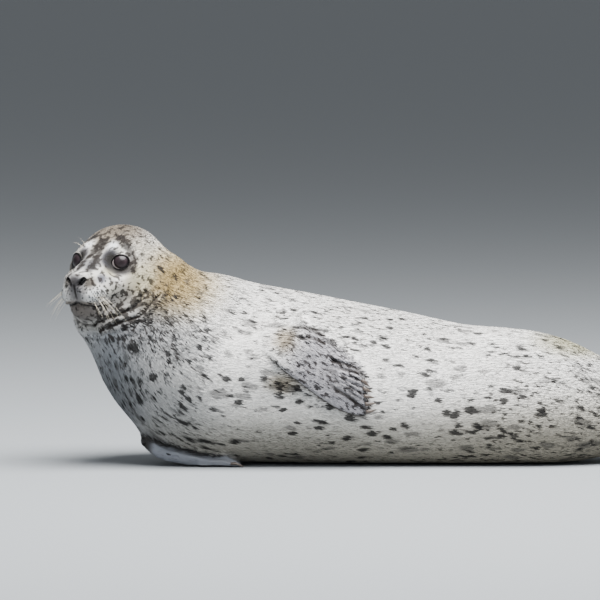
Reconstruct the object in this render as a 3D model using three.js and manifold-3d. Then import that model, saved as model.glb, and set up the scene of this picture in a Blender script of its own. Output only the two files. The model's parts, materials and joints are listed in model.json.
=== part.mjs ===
// A harbour seal hauled out on flat ground, life size: a still model in named pieces.
//
// Millimetres, +Z up. The seal lies along X with its nose at -X and its hind flippers at +X.
// It is rolled onto its right side, so that the belly half faces -Y, and its head is held
// upright and turned out towards -Y. The origin is on the ground under the middle of the animal.
//
// The flesh is one field, a formula that is negative inside the animal: a body swept along the
// spine and blended with the rounded lumps of the head, the throat and the shoulders. A tube
// and a ball are cast out onto that field and parted by thin plane cuts, the flippers are slabs
// laid against it, and the ground cuts everything flat where the seal rests.

import * as THREE from "three";
import { mergeVertices } from "three/addons/utils/BufferGeometryUtils.js";
import Module from "manifold-3d";

const wasm = await Module();
wasm.setup();

// ---------------------------------------------------------------- driving dimensions

const CUT = 0.3; // clear gap between neighbouring pieces
const FACET = 0.2; // allowance for the flesh's facets
const WELD = 1e-3; // vertices closer than this are one
const SETTLE = 9; // how far the soft underside is pressed flat by the ground
const FLESH_BLEND = 30; // rounding where the head, the shoulders and the body run together
const BODY_WIDTH = 1.04; // side-to-side half width over the mean radius
const BODY_DEPTH = 0.96; // back-to-belly half depth over the mean radius

// The spine from the base of the skull to the tail's tip: centre, mean radius, and the roll
// that turns the back away from -Y, in degrees.
const SPINE = [
  { at: [-581, -48, 346], radius: 68, roll: 4 }, // base of the skull
  { at: [-557, -32, 299], radius: 117, roll: 10 }, // neck
  { at: [-500, -10, 236], radius: 164, roll: 24 }, // base of the neck
  { at: [-415, 4, 188], radius: 172, roll: 36 }, // shoulders
  { at: [-259, 8, 164], radius: 163, roll: 42 }, // ribs
  { at: [-74, 6, 143], radius: 148, roll: 42 }, // belly
  { at: [37, 4, 131], radius: 137, roll: 40 }, // loins
  { at: [148, 4, 127], radius: 133, roll: 36 }, // hips
  { at: [222, 6, 118], radius: 123, roll: 34 }, // rump
  { at: [296, 10, 104], radius: 98, roll: 32 },
  { at: [366, 15, 84], radius: 68, roll: 30 },
  { at: [424, 20, 70], radius: 46, roll: 30 }, // ankles
  { at: [462, 28, 68], radius: 26, roll: 30 }, // root of the tail
  { at: [520, 36, 62], radius: 17, roll: 30 },
  { at: [548, 40, 58], radius: 8, roll: 30 }, // tip of the tail
];
const SPINE_STEPS = 130; // straight steps that the field takes along the spine
const TAIL_FROM = 440; // X where the round body starts to flatten into the tail
const TAIL_BLEND = 60; // the length over which it does
const TAIL_FLAT = 0.45; // the tail's thickness over its width

// The head's frame: halfway between the two corneas, turned out from the body and tipped down.
const HEAD_AT = new THREE.Vector3(-632, -106, 378);
const HEAD_YAW = 30; // from facing -Y towards -X
const HEAD_PITCH = 10; // nose down
const EYE_APART = 49.5; // from the middle of the head to each cornea
const EYE_AHEAD = -2; // the corneas ahead of the frame's origin
const EYE_RADIUS = 19.5;
const GAZE_OUT = 27; // degrees that each eye looks to its side
const GAZE_UP = 12;

// The head's lumps in its own frame: x to the nose, y to the seal's left, z up.
// A lump with a side is made twice, left and right.
const HEAD_LUMPS = [
  { name: "cranium", at: [-84, 0, -11], radii: [82, 77, 62] },
  { name: "face", at: [-4, 0, -24], radii: [56, 42, 42] },
  { name: "bridge", at: [36, 0, -24], radii: [42, 21, 23] },
  { name: "nose", at: [70, 0, -22], radii: [16, 16, 15] },
  { name: "whisker pad", at: [52, 22, -46], radii: [31, 25, 22], paired: true },
  { name: "chin", at: [42, 0, -78], radii: [40, 33, 20] },
  { name: "jowl", at: [-60, 40, -50], radii: [54, 40, 44], paired: true },
  { name: "cheek", at: [10, 34, -36], radii: [38, 28, 25], paired: true },
  { name: "cheekbone", at: [-26, 47, -16], radii: [32, 28, 27], paired: true },
  { name: "brow", at: [-32, 28, 10], radii: [30, 26, 20], paired: true },
  { name: "throat", at: [-26, 0, -86], radii: [66, 50, 40] },
];
const HEAD_BLEND = 18; // rounding between the lumps of the head
const ORBIT_RADIUS = 24; // the hollow in front of each eyeball
const ORBIT_AHEAD = 12; // its centre ahead of the cornea
const ORBIT_BLEND = 10;

// Lumps on the body, in the seal's own frame of the whole.
const BODY_LUMPS = [
  { name: "throat", at: [-600, -60, 268], radii: [76, 76, 62] },
  { name: "nape", at: [-520, -22, 322], radii: [80, 76, 72] },
  { name: "upper arm under the chest", at: [-512, -8, 66], radii: [44, 62, 42] },
  { name: "left shoulder", at: [-318, -118, 196], radii: [92, 52, 60] },
];

// Planes that part the body, in order from the head: the piece before each, a point of the
// plane, and the way it faces, towards the tail.
const NECK_CUT = { at: [-566, -40, 318], facing: [0.5, 0.36, -0.79] };
const BODY_CUTS = [
  { before: "neck", at: [-462, -4, 214], facing: [0.87, 0.1, -0.48] },
  { before: "chest", at: [-196, 8, 155], facing: [1, 0, -0.1] },
  { before: "belly", at: [92, 4, 126], facing: [1, 0, 0] },
  { before: "rump", at: [436, 22, 66], facing: [0.98, 0.14, 0] },
];
const MUZZLE_CUT = 26; // forward of the eyes, in the head's frame
const NOSE_AHEAD = 86; // the nose's tip, in the head's frame
const MOUTH_AT = -60; // the mouth line's height at the front, in the head's frame
const MOUTH_DROP = 6; // degrees by which the mouth line falls towards its corners

const HEAD_ENDS = -420; // X behind which the head's lumps no longer count
const MIDDLE = [-10, -10]; // the middle of the whole animal, which becomes the origin

// How finely the flesh is faceted, and how far its rays may run.
const BODY_SIDES = 28;
const BODY_RINGS = 44;
const BODY_REACH = 320;
const HEAD_SIDES = 40;
const HEAD_RINGS = 30;
const HEAD_REACH = 175;
const HEAD_MIDDLE = [-40, 0, -32]; // where the head's rays start, in its own frame
const EYE_SIDES = 16;
const EYE_RINGS = 10;

// Flippers: the edges of the first digit and the last from wrist to tip, how far the digits
// pass the webs as a share of the length, and the thickness at the wrist and the tips.
const DIGITS = 5;
const FLIPPER_STEPS = 9;
const WEB_SHARE = 0.72; // a web's thickness over a digit's
const RIM_SHARE = 0.2; // square of the edge's thickness over the middle's
const LAID_DEEP = 3; // how far a flipper is drawn into the flesh it lies on, before it is cut clear
const FLIPPER_ROOM = 60; // the most height looked for under the chest
const FORE_LEFT = {
  first: [[-322, 0, 190], [-277, 0, 152], [-238, 0, 133], [-200, 0, 107], [-174, 0, 92], [-136, 0, 100]],
  last: [[-254, 0, 262], [-226, 0, 238], [-198, 0, 217], [-168, 0, 194], [-146, 0, 170]],
  reach: 0.04,
  wrist: 30,
  tip: 12,
};
const FORE_RIGHT = {
  first: [[-556, -62, 38], [-522, -84, 12], [-470, -100, 0], [-384, -110, 0]],
  last: [[-546, -10, 38], [-505, -14, 12], [-450, -30, 0], [-388, -58, 0]],
  reach: 0.04,
  wrist: 46,
  tip: 12,
};
const HIND_LEFT = {
  first: [[350, -20, 116], [420, -34, 99], [500, -53, 91], [580, -68, 91], [650, -78, 96]],
  last: [[350, -52, 66], [420, -60, 48], [500, -70, 32], [580, -88, 20], [662, -112, 10]],
  reach: 0.05,
  wrist: 46,
  tip: 10,
};
const HIND_RIGHT = {
  first: [[350, 66, 96], [420, 78, 70], [500, 98, 44], [580, 124, 26], [650, 150, 15]],
  last: [[350, 26, 40], [420, 20, 26], [500, 14, 16], [580, 8, 10], [665, 2, 6]],
  reach: 0.05,
  wrist: 46,
  tip: 11,
};
const FORE_CLAW = 18; // length
const HIND_CLAW = 14;
const CLAW_ROOT = 3; // radius
const CLAW_POINT = 0.5;
const CLAW_NARROW = 0.7; // width over depth
const CLAW_BEND = 0.12; // how far the point drops, over the length
const CLAW_CLEAR = 0.3;
const CLAW_SIDES = 5;
const CLAW_RINGS = 3;

// Colour and roughness of each kind of surface.
const COAT = { color: 0xd9d8d2, roughness: 0.9 };
const SKIN = { color: 0x8b8d93, roughness: 0.7 };
const EYE = { color: 0x1d161b, roughness: 0.08 };
const KERATIN = { color: 0x3b2e28, roughness: 0.45 };

// ---------------------------------------------------------------- small helpers

const { degToRad: radians, lerp, clamp, smoothstep } = THREE.MathUtils;
const vector = (list) => new THREE.Vector3(...list);
const curveOf = (points) => new THREE.CatmullRomCurve3(points.map(vector), false, "centripetal");

function smoothMin(a, b, blend) {
  const near = Math.max(blend - Math.abs(a - b), 0) / blend;
  return Math.min(a, b) - (near * near * blend) / 4;
}

// Roughly the distance from point to an ellipsoid, negative inside it.
function ellipsoidField(point, centre, radii) {
  const x = (point.x - centre.x) / radii.x;
  const y = (point.y - centre.y) / radii.y;
  const z = (point.z - centre.z) / radii.z;
  const size = Math.hypot(x, y, z);
  const slope = Math.hypot(x / radii.x, y / radii.y, z / radii.z);
  return slope < 1e-9 ? -Math.min(radii.x, radii.y, radii.z) : (size * (size - 1)) / slope;
}

// ---------------------------------------------------------------- the spine

const spineCurve = curveOf(SPINE.map(({ at: [x, y, z] }) => [x, y, z - SETTLE]));

// A value of the stations, such as the radius, between them: a smooth cubic through all of them.
function along(key, t) {
  const last = SPINE.length - 1;
  const place = clamp(t, 0, 1) * last;
  const i = Math.min(Math.floor(place), last - 1);
  const f = place - i;
  const value = (n) => SPINE[clamp(n, 0, last)][key];
  const [a, b, c, d] = [value(i - 1), value(i), value(i + 1), value(i + 2)];
  const bend = (2 * a - 5 * b + 4 * c - d) * f + (3 * b - a - 3 * c + d) * f * f;
  return b + 0.5 * f * (c - a + bend);
}

// The frame at t: centre, tangent towards the tail, the seal's left, and its back.
function spineFrame(t) {
  const centre = spineCurve.getPoint(t);
  const tangent = spineCurve.getTangent(t);
  const level = new THREE.Vector3(0, 0, 1).cross(tangent).normalize().negate();
  const upright = new THREE.Vector3().crossVectors(level, tangent).negate();
  const roll = radians(along("roll", t));
  const left = level.clone().multiplyScalar(Math.cos(roll)).addScaledVector(upright, Math.sin(roll));
  const back = upright.clone().multiplyScalar(Math.cos(roll)).addScaledVector(level, -Math.sin(roll));
  const radius = along("radius", t);
  const flat = lerp(BODY_DEPTH, TAIL_FLAT, smoothstep(centre.x, TAIL_FROM, TAIL_FROM + TAIL_BLEND));
  return { centre, tangent, left, back, width: radius * BODY_WIDTH, depth: radius * flat };
}

const spineFrames = Array.from({ length: SPINE_STEPS + 1 }, (_, i) => spineFrame(i / SPINE_STEPS));

// The swept body: an ellipse across the nearest frame of the spine, with rounded ends.
function sweptField(point) {
  let nearest = 0;
  let least = Infinity;
  spineFrames.forEach((frame, i) => {
    const gap = frame.centre.distanceToSquared(point);
    if (gap < least) {
      least = gap;
      nearest = i;
    }
  });
  const frame = spineFrames[nearest];
  const offset = point.clone().sub(frame.centre);
  let ahead = offset.dot(frame.tangent);
  const step = ahead > 0 ? 1 : -1;
  const next = spineFrames[nearest + step];
  let share = 0;
  if (next) {
    share = clamp(Math.abs(ahead) / frame.centre.distanceTo(next.centre), 0, 0.5);
    ahead = 0;
  }
  const other = next || frame;
  const width = lerp(frame.width, other.width, share);
  const depth = lerp(frame.depth, other.depth, share);
  const size = Math.hypot(offset.dot(frame.left) / width, offset.dot(frame.back) / depth, ahead / width);
  return (size - 1) * Math.min(width, depth);
}

// ---------------------------------------------------------------- the head

// The head's frame in the whole: its axes point to the nose, to the seal's left and up.
function headFrame() {
  const yaw = radians(HEAD_YAW);
  const pitch = radians(HEAD_PITCH);
  const level = new THREE.Vector3(-Math.sin(yaw), -Math.cos(yaw), 0);
  const forward = level.multiplyScalar(Math.cos(pitch)).setZ(-Math.sin(pitch));
  const left = new THREE.Vector3(0, 0, 1).cross(forward).normalize();
  const up = new THREE.Vector3().crossVectors(forward, left);
  return new THREE.Matrix4().makeBasis(forward, left, up).setPosition(HEAD_AT);
}

const headPlace = headFrame();
const headInverse = headPlace.clone().invert();

const fromHead = (x, y, z) => new THREE.Vector3(x, y, z).applyMatrix4(headPlace);
const headDirection = (x, y, z) => new THREE.Vector3(x, y, z).transformDirection(headPlace);

const headLumps = HEAD_LUMPS.flatMap(({ at, radii, paired }) => {
  const sides = paired ? [1, -1] : [1];
  return sides.map((side) => ({
    centre: new THREE.Vector3(at[0], at[1] * side, at[2]),
    radii: vector(radii),
  }));
});
const bodyLumps = BODY_LUMPS.map(({ at, radii }) => ({ centre: vector(at), radii: vector(radii) }));

function eyeGaze(side) {
  const out = radians(GAZE_OUT);
  const up = radians(GAZE_UP);
  return headDirection(Math.cos(out) * Math.cos(up), Math.sin(out) * Math.cos(up) * side, Math.sin(up));
}

const cornea = (side) => fromHead(EYE_AHEAD, EYE_APART * side, 0);
const orbits = [1, -1].map((side) => cornea(side).addScaledVector(eyeGaze(side), ORBIT_AHEAD));

// The lumps of the head, less a shallow hollow round each eye.
function headField(point) {
  const local = point.clone().applyMatrix4(headInverse);
  const flesh = headLumps.reduce(
    (field, lump) => smoothMin(field, ellipsoidField(local, lump.centre, lump.radii), HEAD_BLEND),
    Infinity,
  );
  return orbits.reduce(
    (field, orbit) => -smoothMin(-field, orbit.distanceTo(point) - ORBIT_RADIUS, ORBIT_BLEND),
    flesh,
  );
}

// ---------------------------------------------------------------- the whole field

function fleshField(point) {
  const body = bodyLumps.reduce(
    (field, lump) => smoothMin(field, ellipsoidField(point, lump.centre, lump.radii), FLESH_BLEND),
    sweptField(point),
  );
  return point.x < HEAD_ENDS ? smoothMin(body, headField(point), FLESH_BLEND) : body;
}

// The point where the ray from origin leaves the flesh, or a field grown outwards by margin.
function castOut(origin, direction, reach, margin) {
  const at = (distance) => origin.clone().addScaledVector(direction, distance);
  const outside = (distance) => fleshField(at(distance)) > margin;
  const stride = 6;
  let far = stride;
  while (far < reach && !outside(far)) far += stride;
  let near = far - stride;
  far = Math.min(far, reach);
  for (let i = 0; i < 16; i += 1) {
    const middle = (near + far) / 2;
    if (outside(middle)) far = middle;
    else near = middle;
  }
  return at((near + far) / 2);
}

// ---------------------------------------------------------------- solids

function reshape(geometry, place) {
  const position = geometry.getAttribute("position");
  const point = new THREE.Vector3();
  for (let i = 0; i < position.count; i += 1) {
    point.fromBufferAttribute(position, i);
    position.setXYZ(i, ...place(point.clone()).toArray());
  }
  return geometry;
}

function solidOf(geometry) {
  const bare = new THREE.BufferGeometry();
  bare.setAttribute("position", geometry.getAttribute("position"));
  bare.setIndex(geometry.getIndex());
  const merged = mergeVertices(bare, WELD);
  const mesh = new wasm.Mesh({
    numProp: 3,
    vertProperties: merged.getAttribute("position").array,
    triVerts: new Uint32Array(merged.getIndex().array),
  });
  return new wasm.Manifold(mesh);
}

function geometryOf(solid) {
  const { vertProperties, triVerts } = solid.getMesh();
  const position = new THREE.BufferAttribute(vertProperties, 3);
  return new THREE.BufferGeometry().setAttribute("position", position).setIndex([...triVerts]);
}

// ---------------------------------------------------------------- flesh, cast and cut

// The body from inside the head to the tail's tip, as a tube, or one grown outwards by margin.
function bodySolid(margin) {
  const tube = new THREE.CylinderGeometry(1, 1, 1, BODY_SIDES, BODY_RINGS);
  reshape(tube, (place) => {
    const { centre, left, back } = spineFrame(0.5 - place.y);
    const out = left.clone().multiplyScalar(place.x).addScaledVector(back, place.z);
    if (out.length() < 0.5) return centre;
    return castOut(centre, out.normalize(), BODY_REACH, margin);
  });
  return solidOf(tube);
}

// The head as a ball whose poles are the nose and the neck.
function headSolid() {
  const ball = new THREE.SphereGeometry(1, HEAD_SIDES, HEAD_RINGS);
  const middle = fromHead(...HEAD_MIDDLE);
  reshape(ball, (place) => castOut(middle, headDirection(place.y, -place.x, place.z), HEAD_REACH, 0));
  return solidOf(ball);
}

// The part of solid on the side that facing points to, half a cut short of the plane.
function keep(solid, at, facing) {
  const normal = vector(facing).normalize();
  return solid.trimByPlane(normal.toArray(), normal.dot(vector(at)) + CUT / 2);
}

const standing = (solid) => solid.trimByPlane([0, 0, 1], 0);
const opposite = (facing) => facing.map((part) => -part);

// The neck, chest, belly, rump and tail: the body behind the head, over the ground, in slices.
function bodyPieces() {
  const pieces = {};
  let rest = keep(standing(bodySolid(0)), NECK_CUT.at, NECK_CUT.facing);
  BODY_CUTS.forEach(({ before, at, facing }) => {
    pieces[before] = keep(rest, at, opposite(facing));
    rest = keep(rest, at, facing);
  });
  return { ...pieces, tail: rest };
}

function eyeBall(side, radius) {
  const ball = new THREE.SphereGeometry(radius, EYE_SIDES, EYE_RINGS);
  const gaze = eyeGaze(side);
  const turn = new THREE.Quaternion().setFromUnitVectors(new THREE.Vector3(0, 1, 0), gaze);
  const middle = cornea(side).addScaledVector(gaze, -EYE_RADIUS);
  return solidOf(reshape(ball, (place) => place.applyQuaternion(turn).add(middle)));
}

function headPieces() {
  const back = opposite(NECK_CUT.facing);
  const sockets = [1, -1].map((side) => eyeBall(side, EYE_RADIUS + CUT));
  const skull = keep(headSolid(), NECK_CUT.at, back);
  const whole = sockets.reduce((solid, socket) => solid.subtract(socket), skull);
  const ahead = headDirection(1, 0, 0).toArray();
  const front = fromHead(MUZZLE_CUT, 0, 0).toArray();
  const drop = radians(MOUTH_DROP);
  const above = headDirection(-Math.sin(drop), 0, Math.cos(drop)).toArray();
  const mouth = fromHead(NOSE_AHEAD, 0, MOUTH_AT).toArray();
  const snout = keep(whole, front, ahead);
  return {
    head: keep(whole, front, opposite(ahead)),
    muzzle: keep(snout, mouth, above),
    lower_jaw: keep(snout, mouth, opposite(above)),
  };
}

// ---------------------------------------------------------------- flippers

// How far each digit reaches: 1 at a digit's middle and 0 half way between two digits, for an
// across that runs from 0 on the first digit's edge to 1 on the last digit's.
const digitAt = (n) => (n + 0.5) / DIGITS;
const digitShape = (across) => Math.abs(Math.sin(Math.PI * DIGITS * clamp(across, 0, 1)));

const ridge = (across) => lerp(WEB_SHARE, 1, digitShape(across));

// A flipper as a grid: sheet gives the place and the normal at (along, across), and thickness
// the height of its two faces over the sheet. The faces close on thin rims round the edge.
function paddle(sheet, faces) {
  const slab = new THREE.BoxGeometry(1, 1, 1, FLIPPER_STEPS, DIGITS * 2, 1);
  reshape(slab, (place) => {
    const along = place.x + 0.5;
    const across = place.y + 0.5;
    const { point, normal } = sheet(along, across);
    const rim = Math.sqrt(Math.max(1 - (2 * across - 1) ** 4, RIM_SHARE));
    const [low, high] = faces(along, across, rim);
    return point.addScaledVector(normal, place.z > 0 ? high : low);
  });
  return solidOf(slab);
}

// The point of the body's side that is seen from -Y at (x, z), and the way out of the body there.
function flankAt(x, z) {
  const point = castOut(new THREE.Vector3(x, 0, z), new THREE.Vector3(0, -1, 0), BODY_REACH, 0);
  const slope = (axis) => {
    const step = new THREE.Vector3().setComponent(axis, 1);
    return fleshField(point.clone().add(step)) - fleshField(point.clone().sub(step));
  };
  return { point, normal: new THREE.Vector3(slope(0), slope(1), slope(2)).normalize() };
}

// The height of the chest's underside over the ground at (x, y).
function chestOver(x, y) {
  const point = new THREE.Vector3(x, y, 0);
  while (point.z < FLIPPER_ROOM && fleshField(point) > 0) point.z += 1;
  return point.z;
}

// The sheet of a flipper between its first digit's edge and its last, with the tips let out.
function fanSheet(first, last, reach) {
  return (along, across) => {
    const out = 1 + reach * digitShape(across);
    const t = clamp((along * out) / (1 + reach), 0, 1);
    return first.getPoint(t).lerp(last.getPoint(t), across);
  };
}

// The left fore flipper lies against the flank: the y of its edges comes from the body.
function leftForeFlipper() {
  const flat = fanSheet(curveOf(FORE_LEFT.first), curveOf(FORE_LEFT.last), FORE_LEFT.reach);
  const sheet = (along, across) => {
    const place = flat(along, across);
    return flankAt(place.x, place.z);
  };
  const faces = (along, across, rim) => [
    -LAID_DEEP,
    lerp(FORE_LEFT.wrist, FORE_LEFT.tip, along) * rim * ridge(across),
  ];
  return { sheet, faces };
}

// The right fore flipper lies on the ground, under the chest at its wrist.
function rightForeFlipper() {
  const flat = fanSheet(curveOf(FORE_RIGHT.first), curveOf(FORE_RIGHT.last), FORE_RIGHT.reach);
  const normal = new THREE.Vector3(0, 0, 1);
  const sheet = (along, across) => ({ point: flat(along, across), normal });
  const faces = (along, across, rim) => {
    const { x, y, z } = flat(along, across);
    const own = lerp(FORE_RIGHT.wrist, FORE_RIGHT.tip, along) * rim * ridge(across);
    return [0, Math.max(Math.min(own, chestOver(x, y) - z + LAID_DEEP), 1)];
  };
  return { sheet, faces };
}

// A hind flipper is free: its normal comes from the sheet itself.
function hindFlipper({ first, last, reach, wrist, tip }) {
  const flat = fanSheet(curveOf(first), curveOf(last), reach);
  const sheet = (along, across) => {
    const point = flat(along, across);
    const onward = flat(Math.min(along + 0.05, 1), across).sub(flat(along - 0.05, across));
    const over = flat(along, Math.min(across + 0.05, 1)).sub(flat(along, across - 0.05));
    return { point, normal: onward.cross(over).normalize() };
  };
  const faces = (along, across, rim) => {
    const half = lerp(wrist, tip, along) * rim * ridge(across) / 2;
    return [-half, half];
  };
  return { sheet, faces };
}

// ---------------------------------------------------------------- claws

// A claw at the end of digit n: a cone that leaves the tip along the digit and bends down,
// clear of the digit and of the body.
function claw({ sheet, faces }, n, length) {
  const across = digitAt(n);
  const tip = sheet(1, across);
  const before = sheet(0.9, across);
  const [low, high] = faces(1, across, 1);
  const ahead = tip.point.clone().sub(before.point).normalize();
  const side = new THREE.Vector3().crossVectors(tip.normal, ahead).normalize();
  const up = new THREE.Vector3().crossVectors(ahead, side);
  const root = tip.point.clone().addScaledVector(tip.normal, (low + high) / 2);
  const cone = new THREE.CylinderGeometry(CLAW_POINT, CLAW_ROOT, 1, CLAW_SIDES, CLAW_RINGS);
  reshape(cone, (place) => {
    const on = place.y + 0.5;
    return root
      .clone()
      .addScaledVector(ahead, CUT + CLAW_CLEAR + on * length)
      .addScaledVector(up, -place.x - CLAW_BEND * length * on * on)
      .addScaledVector(side, -place.z * CLAW_NARROW);
  });
  return solidOf(cone);
}

// ---------------------------------------------------------------- the seal

const group = new THREE.Group();
group.name = "harbour_seal";

function add(name, solid, { color, roughness }) {
  const material = new THREE.MeshStandardMaterial({ color, roughness, metalness: 0 });
  const mesh = new THREE.Mesh(geometryOf(solid.translate([-MIDDLE[0], -MIDDLE[1], 0])), material);
  mesh.name = name;
  group.add(mesh);
}

Object.entries({ ...headPieces(), ...bodyPieces() }).forEach(([name, solid]) => add(name, solid, COAT));

[["left", 1], ["right", -1]].forEach(([name, side]) => add(`eye_${name}`, eyeBall(side, EYE_RADIUS), EYE));

const flippers = {
  fore_flipper_left: { shape: leftForeFlipper(), length: FORE_CLAW },
  fore_flipper_right: { shape: rightForeFlipper(), length: FORE_CLAW },
  hind_flipper_left: { shape: hindFlipper(HIND_LEFT), length: HIND_CLAW },
  hind_flipper_right: { shape: hindFlipper(HIND_RIGHT), length: HIND_CLAW },
};

// The flippers are cut clear of the body, and each digit gets its claw.
const clearance = bodySolid(CUT + FACET);
Object.entries(flippers).forEach(([name, { shape, length }]) => {
  add(name, standing(paddle(shape.sheet, shape.faces).subtract(clearance)), SKIN);
  for (let n = 0; n < DIGITS; n += 1) {
    add(`${name.replace("flipper", "claw")}_${n + 1}`, claw(shape, n, length), KERATIN);
  }
});

export default group;
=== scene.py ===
import json
import math

import bmesh
import bpy
import numpy as np
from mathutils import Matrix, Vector
from mathutils.bvhtree import BVHTree
from mathutils.kdtree import KDTree

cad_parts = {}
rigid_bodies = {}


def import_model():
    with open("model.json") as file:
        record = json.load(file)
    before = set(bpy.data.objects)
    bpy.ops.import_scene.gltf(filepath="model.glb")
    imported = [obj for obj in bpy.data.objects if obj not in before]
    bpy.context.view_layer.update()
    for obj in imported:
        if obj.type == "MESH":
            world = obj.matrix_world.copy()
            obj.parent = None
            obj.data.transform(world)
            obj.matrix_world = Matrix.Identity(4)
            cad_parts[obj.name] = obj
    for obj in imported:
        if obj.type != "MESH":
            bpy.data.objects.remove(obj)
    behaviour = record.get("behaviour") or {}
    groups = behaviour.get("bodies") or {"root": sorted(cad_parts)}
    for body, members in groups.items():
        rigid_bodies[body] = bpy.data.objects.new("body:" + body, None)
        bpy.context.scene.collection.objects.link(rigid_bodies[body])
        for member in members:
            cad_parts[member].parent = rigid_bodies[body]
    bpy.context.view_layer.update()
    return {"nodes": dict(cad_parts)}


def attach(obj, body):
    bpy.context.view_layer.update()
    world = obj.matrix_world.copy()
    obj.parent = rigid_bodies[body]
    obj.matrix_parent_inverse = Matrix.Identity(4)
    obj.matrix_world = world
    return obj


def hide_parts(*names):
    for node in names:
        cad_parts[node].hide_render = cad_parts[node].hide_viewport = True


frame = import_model()

# %% [markdown]
# # A harbour seal, hauled out
#
# The seal lies on its right side with its head up and turned towards us. The frame above holds
# its plain solids: head, neck, chest, belly, rump, tail, four flippers, two eyes, twenty claws.
# Each step below says what a piece is on the animal, how it could be made, and why it is made
# as it is. Lengths are in metres unless a name says mm.

# %% [markdown]
# ## The camera and the studio
#
# A seal on open ground is lit by the whole sky. The sky could be one even colour, but then
# nothing would be shaded. So one broad soft lamp stands for the brightest part of the sky, a weak
# one fills in the face, and a pale matt floor takes the shadow. The lens is long and far away, so
# that the head and the flippers keep their true proportions.

# %% The camera
IMAGE = 600  # pixels on each side
PIXEL = 0.00185  # metres that one pixel covers at the seal
AWAY = 12.0
DOWN = math.radians(4.0)
LOOK_AT = Vector((-0.249, 0.010, 0.301))
SENSOR_MM = 36.0

camera = bpy.data.objects.new("camera", bpy.data.cameras.new("camera"))
bpy.context.scene.collection.objects.link(camera)
camera.data.sensor_width = SENSOR_MM
camera.data.lens = SENSOR_MM * AWAY / (IMAGE * PIXEL)
camera.data.clip_end = 100.0
camera.location = LOOK_AT - AWAY * Vector((0.0, math.cos(DOWN), -math.sin(DOWN)))
camera.rotation_euler = (math.radians(90.0) - DOWN, 0.0, 0.0)
bpy.context.scene.camera = camera
print("camera lens", round(camera.data.lens, 1), "mm")


# %% Colours and nodes
def srgb(hex_colour):
    """A linear RGBA from a hex colour such as "#e6e2d8"."""
    parts = [int(hex_colour[i : i + 2], 16) / 255 for i in (1, 3, 5)]
    linear = [p / 12.92 if p <= 0.04045 else ((p + 0.055) / 1.055) ** 2.4 for p in parts]
    return (*linear, 1.0)


print("a middle grey scatters", round(srgb("#808080")[0], 2), "of the light")


def link(tree, value, socket):
    """Sets socket to value, or joins it to an output of another node."""
    if isinstance(value, bpy.types.NodeSocket):
        tree.links.new(value, socket)
    elif isinstance(value, str):
        socket.default_value = srgb(value)
    else:
        socket.default_value = value


def node(tree, kind, inputs, out=0, **settings):
    """Adds one shader node with its settings, feeds its inputs, and gives one of its outputs.

    The inputs are a row of values in the node's own order, or values by name or number.
    """
    made = tree.nodes.new("ShaderNode" + kind)
    for name, value in settings.items():
        setattr(made, name, value)
    named = inputs if isinstance(inputs, dict) else dict(enumerate(inputs))
    for name, value in named.items():
        link(tree, value, made.inputs[name])
    return made.outputs[out]


def material(name):
    """An empty material and the shader that its colour, roughness and bump go to."""
    made = bpy.data.materials.new(name)
    made.use_nodes = True
    return made, made.node_tree, made.node_tree.nodes["Principled BSDF"]


# %% The floor, the sky and the lamps
FLOOR_SIZE = 900.0  # so wide that its edge is lost in the distance


def deselect():
    """Lets go of every object, so that the next step works on its own one alone."""
    for each in bpy.data.objects:
        each.select_set(False)


deselect()
bpy.ops.mesh.primitive_plane_add(size=FLOOR_SIZE, location=(0.0, 0.0, 0.0))
floor = bpy.context.active_object
floor.name = "floor"
# Matt studio paint: it scatters light evenly, so the shadow is soft and nothing is mirrored.
floor_paint, tree, shader = material("pale matt floor paint")
link(tree, "#8f9396", shader.inputs["Base Color"])
shader.inputs["Roughness"].default_value = 0.85
floor.data.materials.append(floor_paint)

world = bpy.context.scene.world or bpy.data.worlds.new("studio")
bpy.context.scene.world = world
world.use_nodes = True
world.node_tree.nodes["Background"].inputs["Color"].default_value = srgb("#dfe3e8")
world.node_tree.nodes["Background"].inputs["Strength"].default_value = 0.43


def soft_light(name, place, size, power, colour):
    """A round lamp that faces the seal; the size is in metres and the power in watts."""
    lamp = bpy.data.lights.new(name, "AREA")
    lamp.shape = "DISK"
    lamp.size = size
    lamp.energy = power
    lamp.color = srgb(colour)[:3]
    made = bpy.data.objects.new(name, lamp)
    made.location = place
    made.rotation_euler = (LOOK_AT - Vector(place)).to_track_quat("-Z", "Y").to_euler()
    bpy.context.scene.collection.objects.link(made)


soft_light("overcast sky", (0.5, -1.0, 3.8), 3.6, 800.0, "#ffffff")
soft_light("front fill", (-2.6, -4.6, 2.0), 3.0, 34.0, "#f1f4ff")
print("lamps", [each.name for each in bpy.data.lights])

# %% [markdown]
# ## The skin
#
# A seal's skin is one sheet with no seam from the lips to the hind flippers. It could be built
# as strips of faces round each part and stitched, but the joins would show. Instead the flesh
# solids are copied together, remeshed into one sheet, and smoothed until their facets are gone.

# %% The head's own frame
HEAD_AT = np.array([-0.622, -0.096, 0.378])
HEAD_YAW = math.radians(30.0)
HEAD_PITCH = math.radians(10.0)
SIDES = (1, -1)  # the seal's left, then its right


def head_axes():
    """The head's own axes: to the nose, to the seal's left, and up."""
    level = np.array([-math.sin(HEAD_YAW), -math.cos(HEAD_YAW), 0.0])
    forward = level * math.cos(HEAD_PITCH) - np.array([0.0, 0.0, math.sin(HEAD_PITCH)])
    left = np.cross([0.0, 0.0, 1.0], forward)
    left /= np.linalg.norm(left)
    return np.array([forward, left, np.cross(forward, left)])


HEAD_AXES = head_axes()
print("the nose points along", HEAD_AXES[0].round(2))


def to_head(points):
    """Places in the head's own frame, in millimetres."""
    return (points - HEAD_AT) @ HEAD_AXES.T * 1000.0


def from_head(points):
    """Places in metres from places in the head's own frame."""
    return np.asarray(points) / 1000.0 @ HEAD_AXES + HEAD_AT


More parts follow.
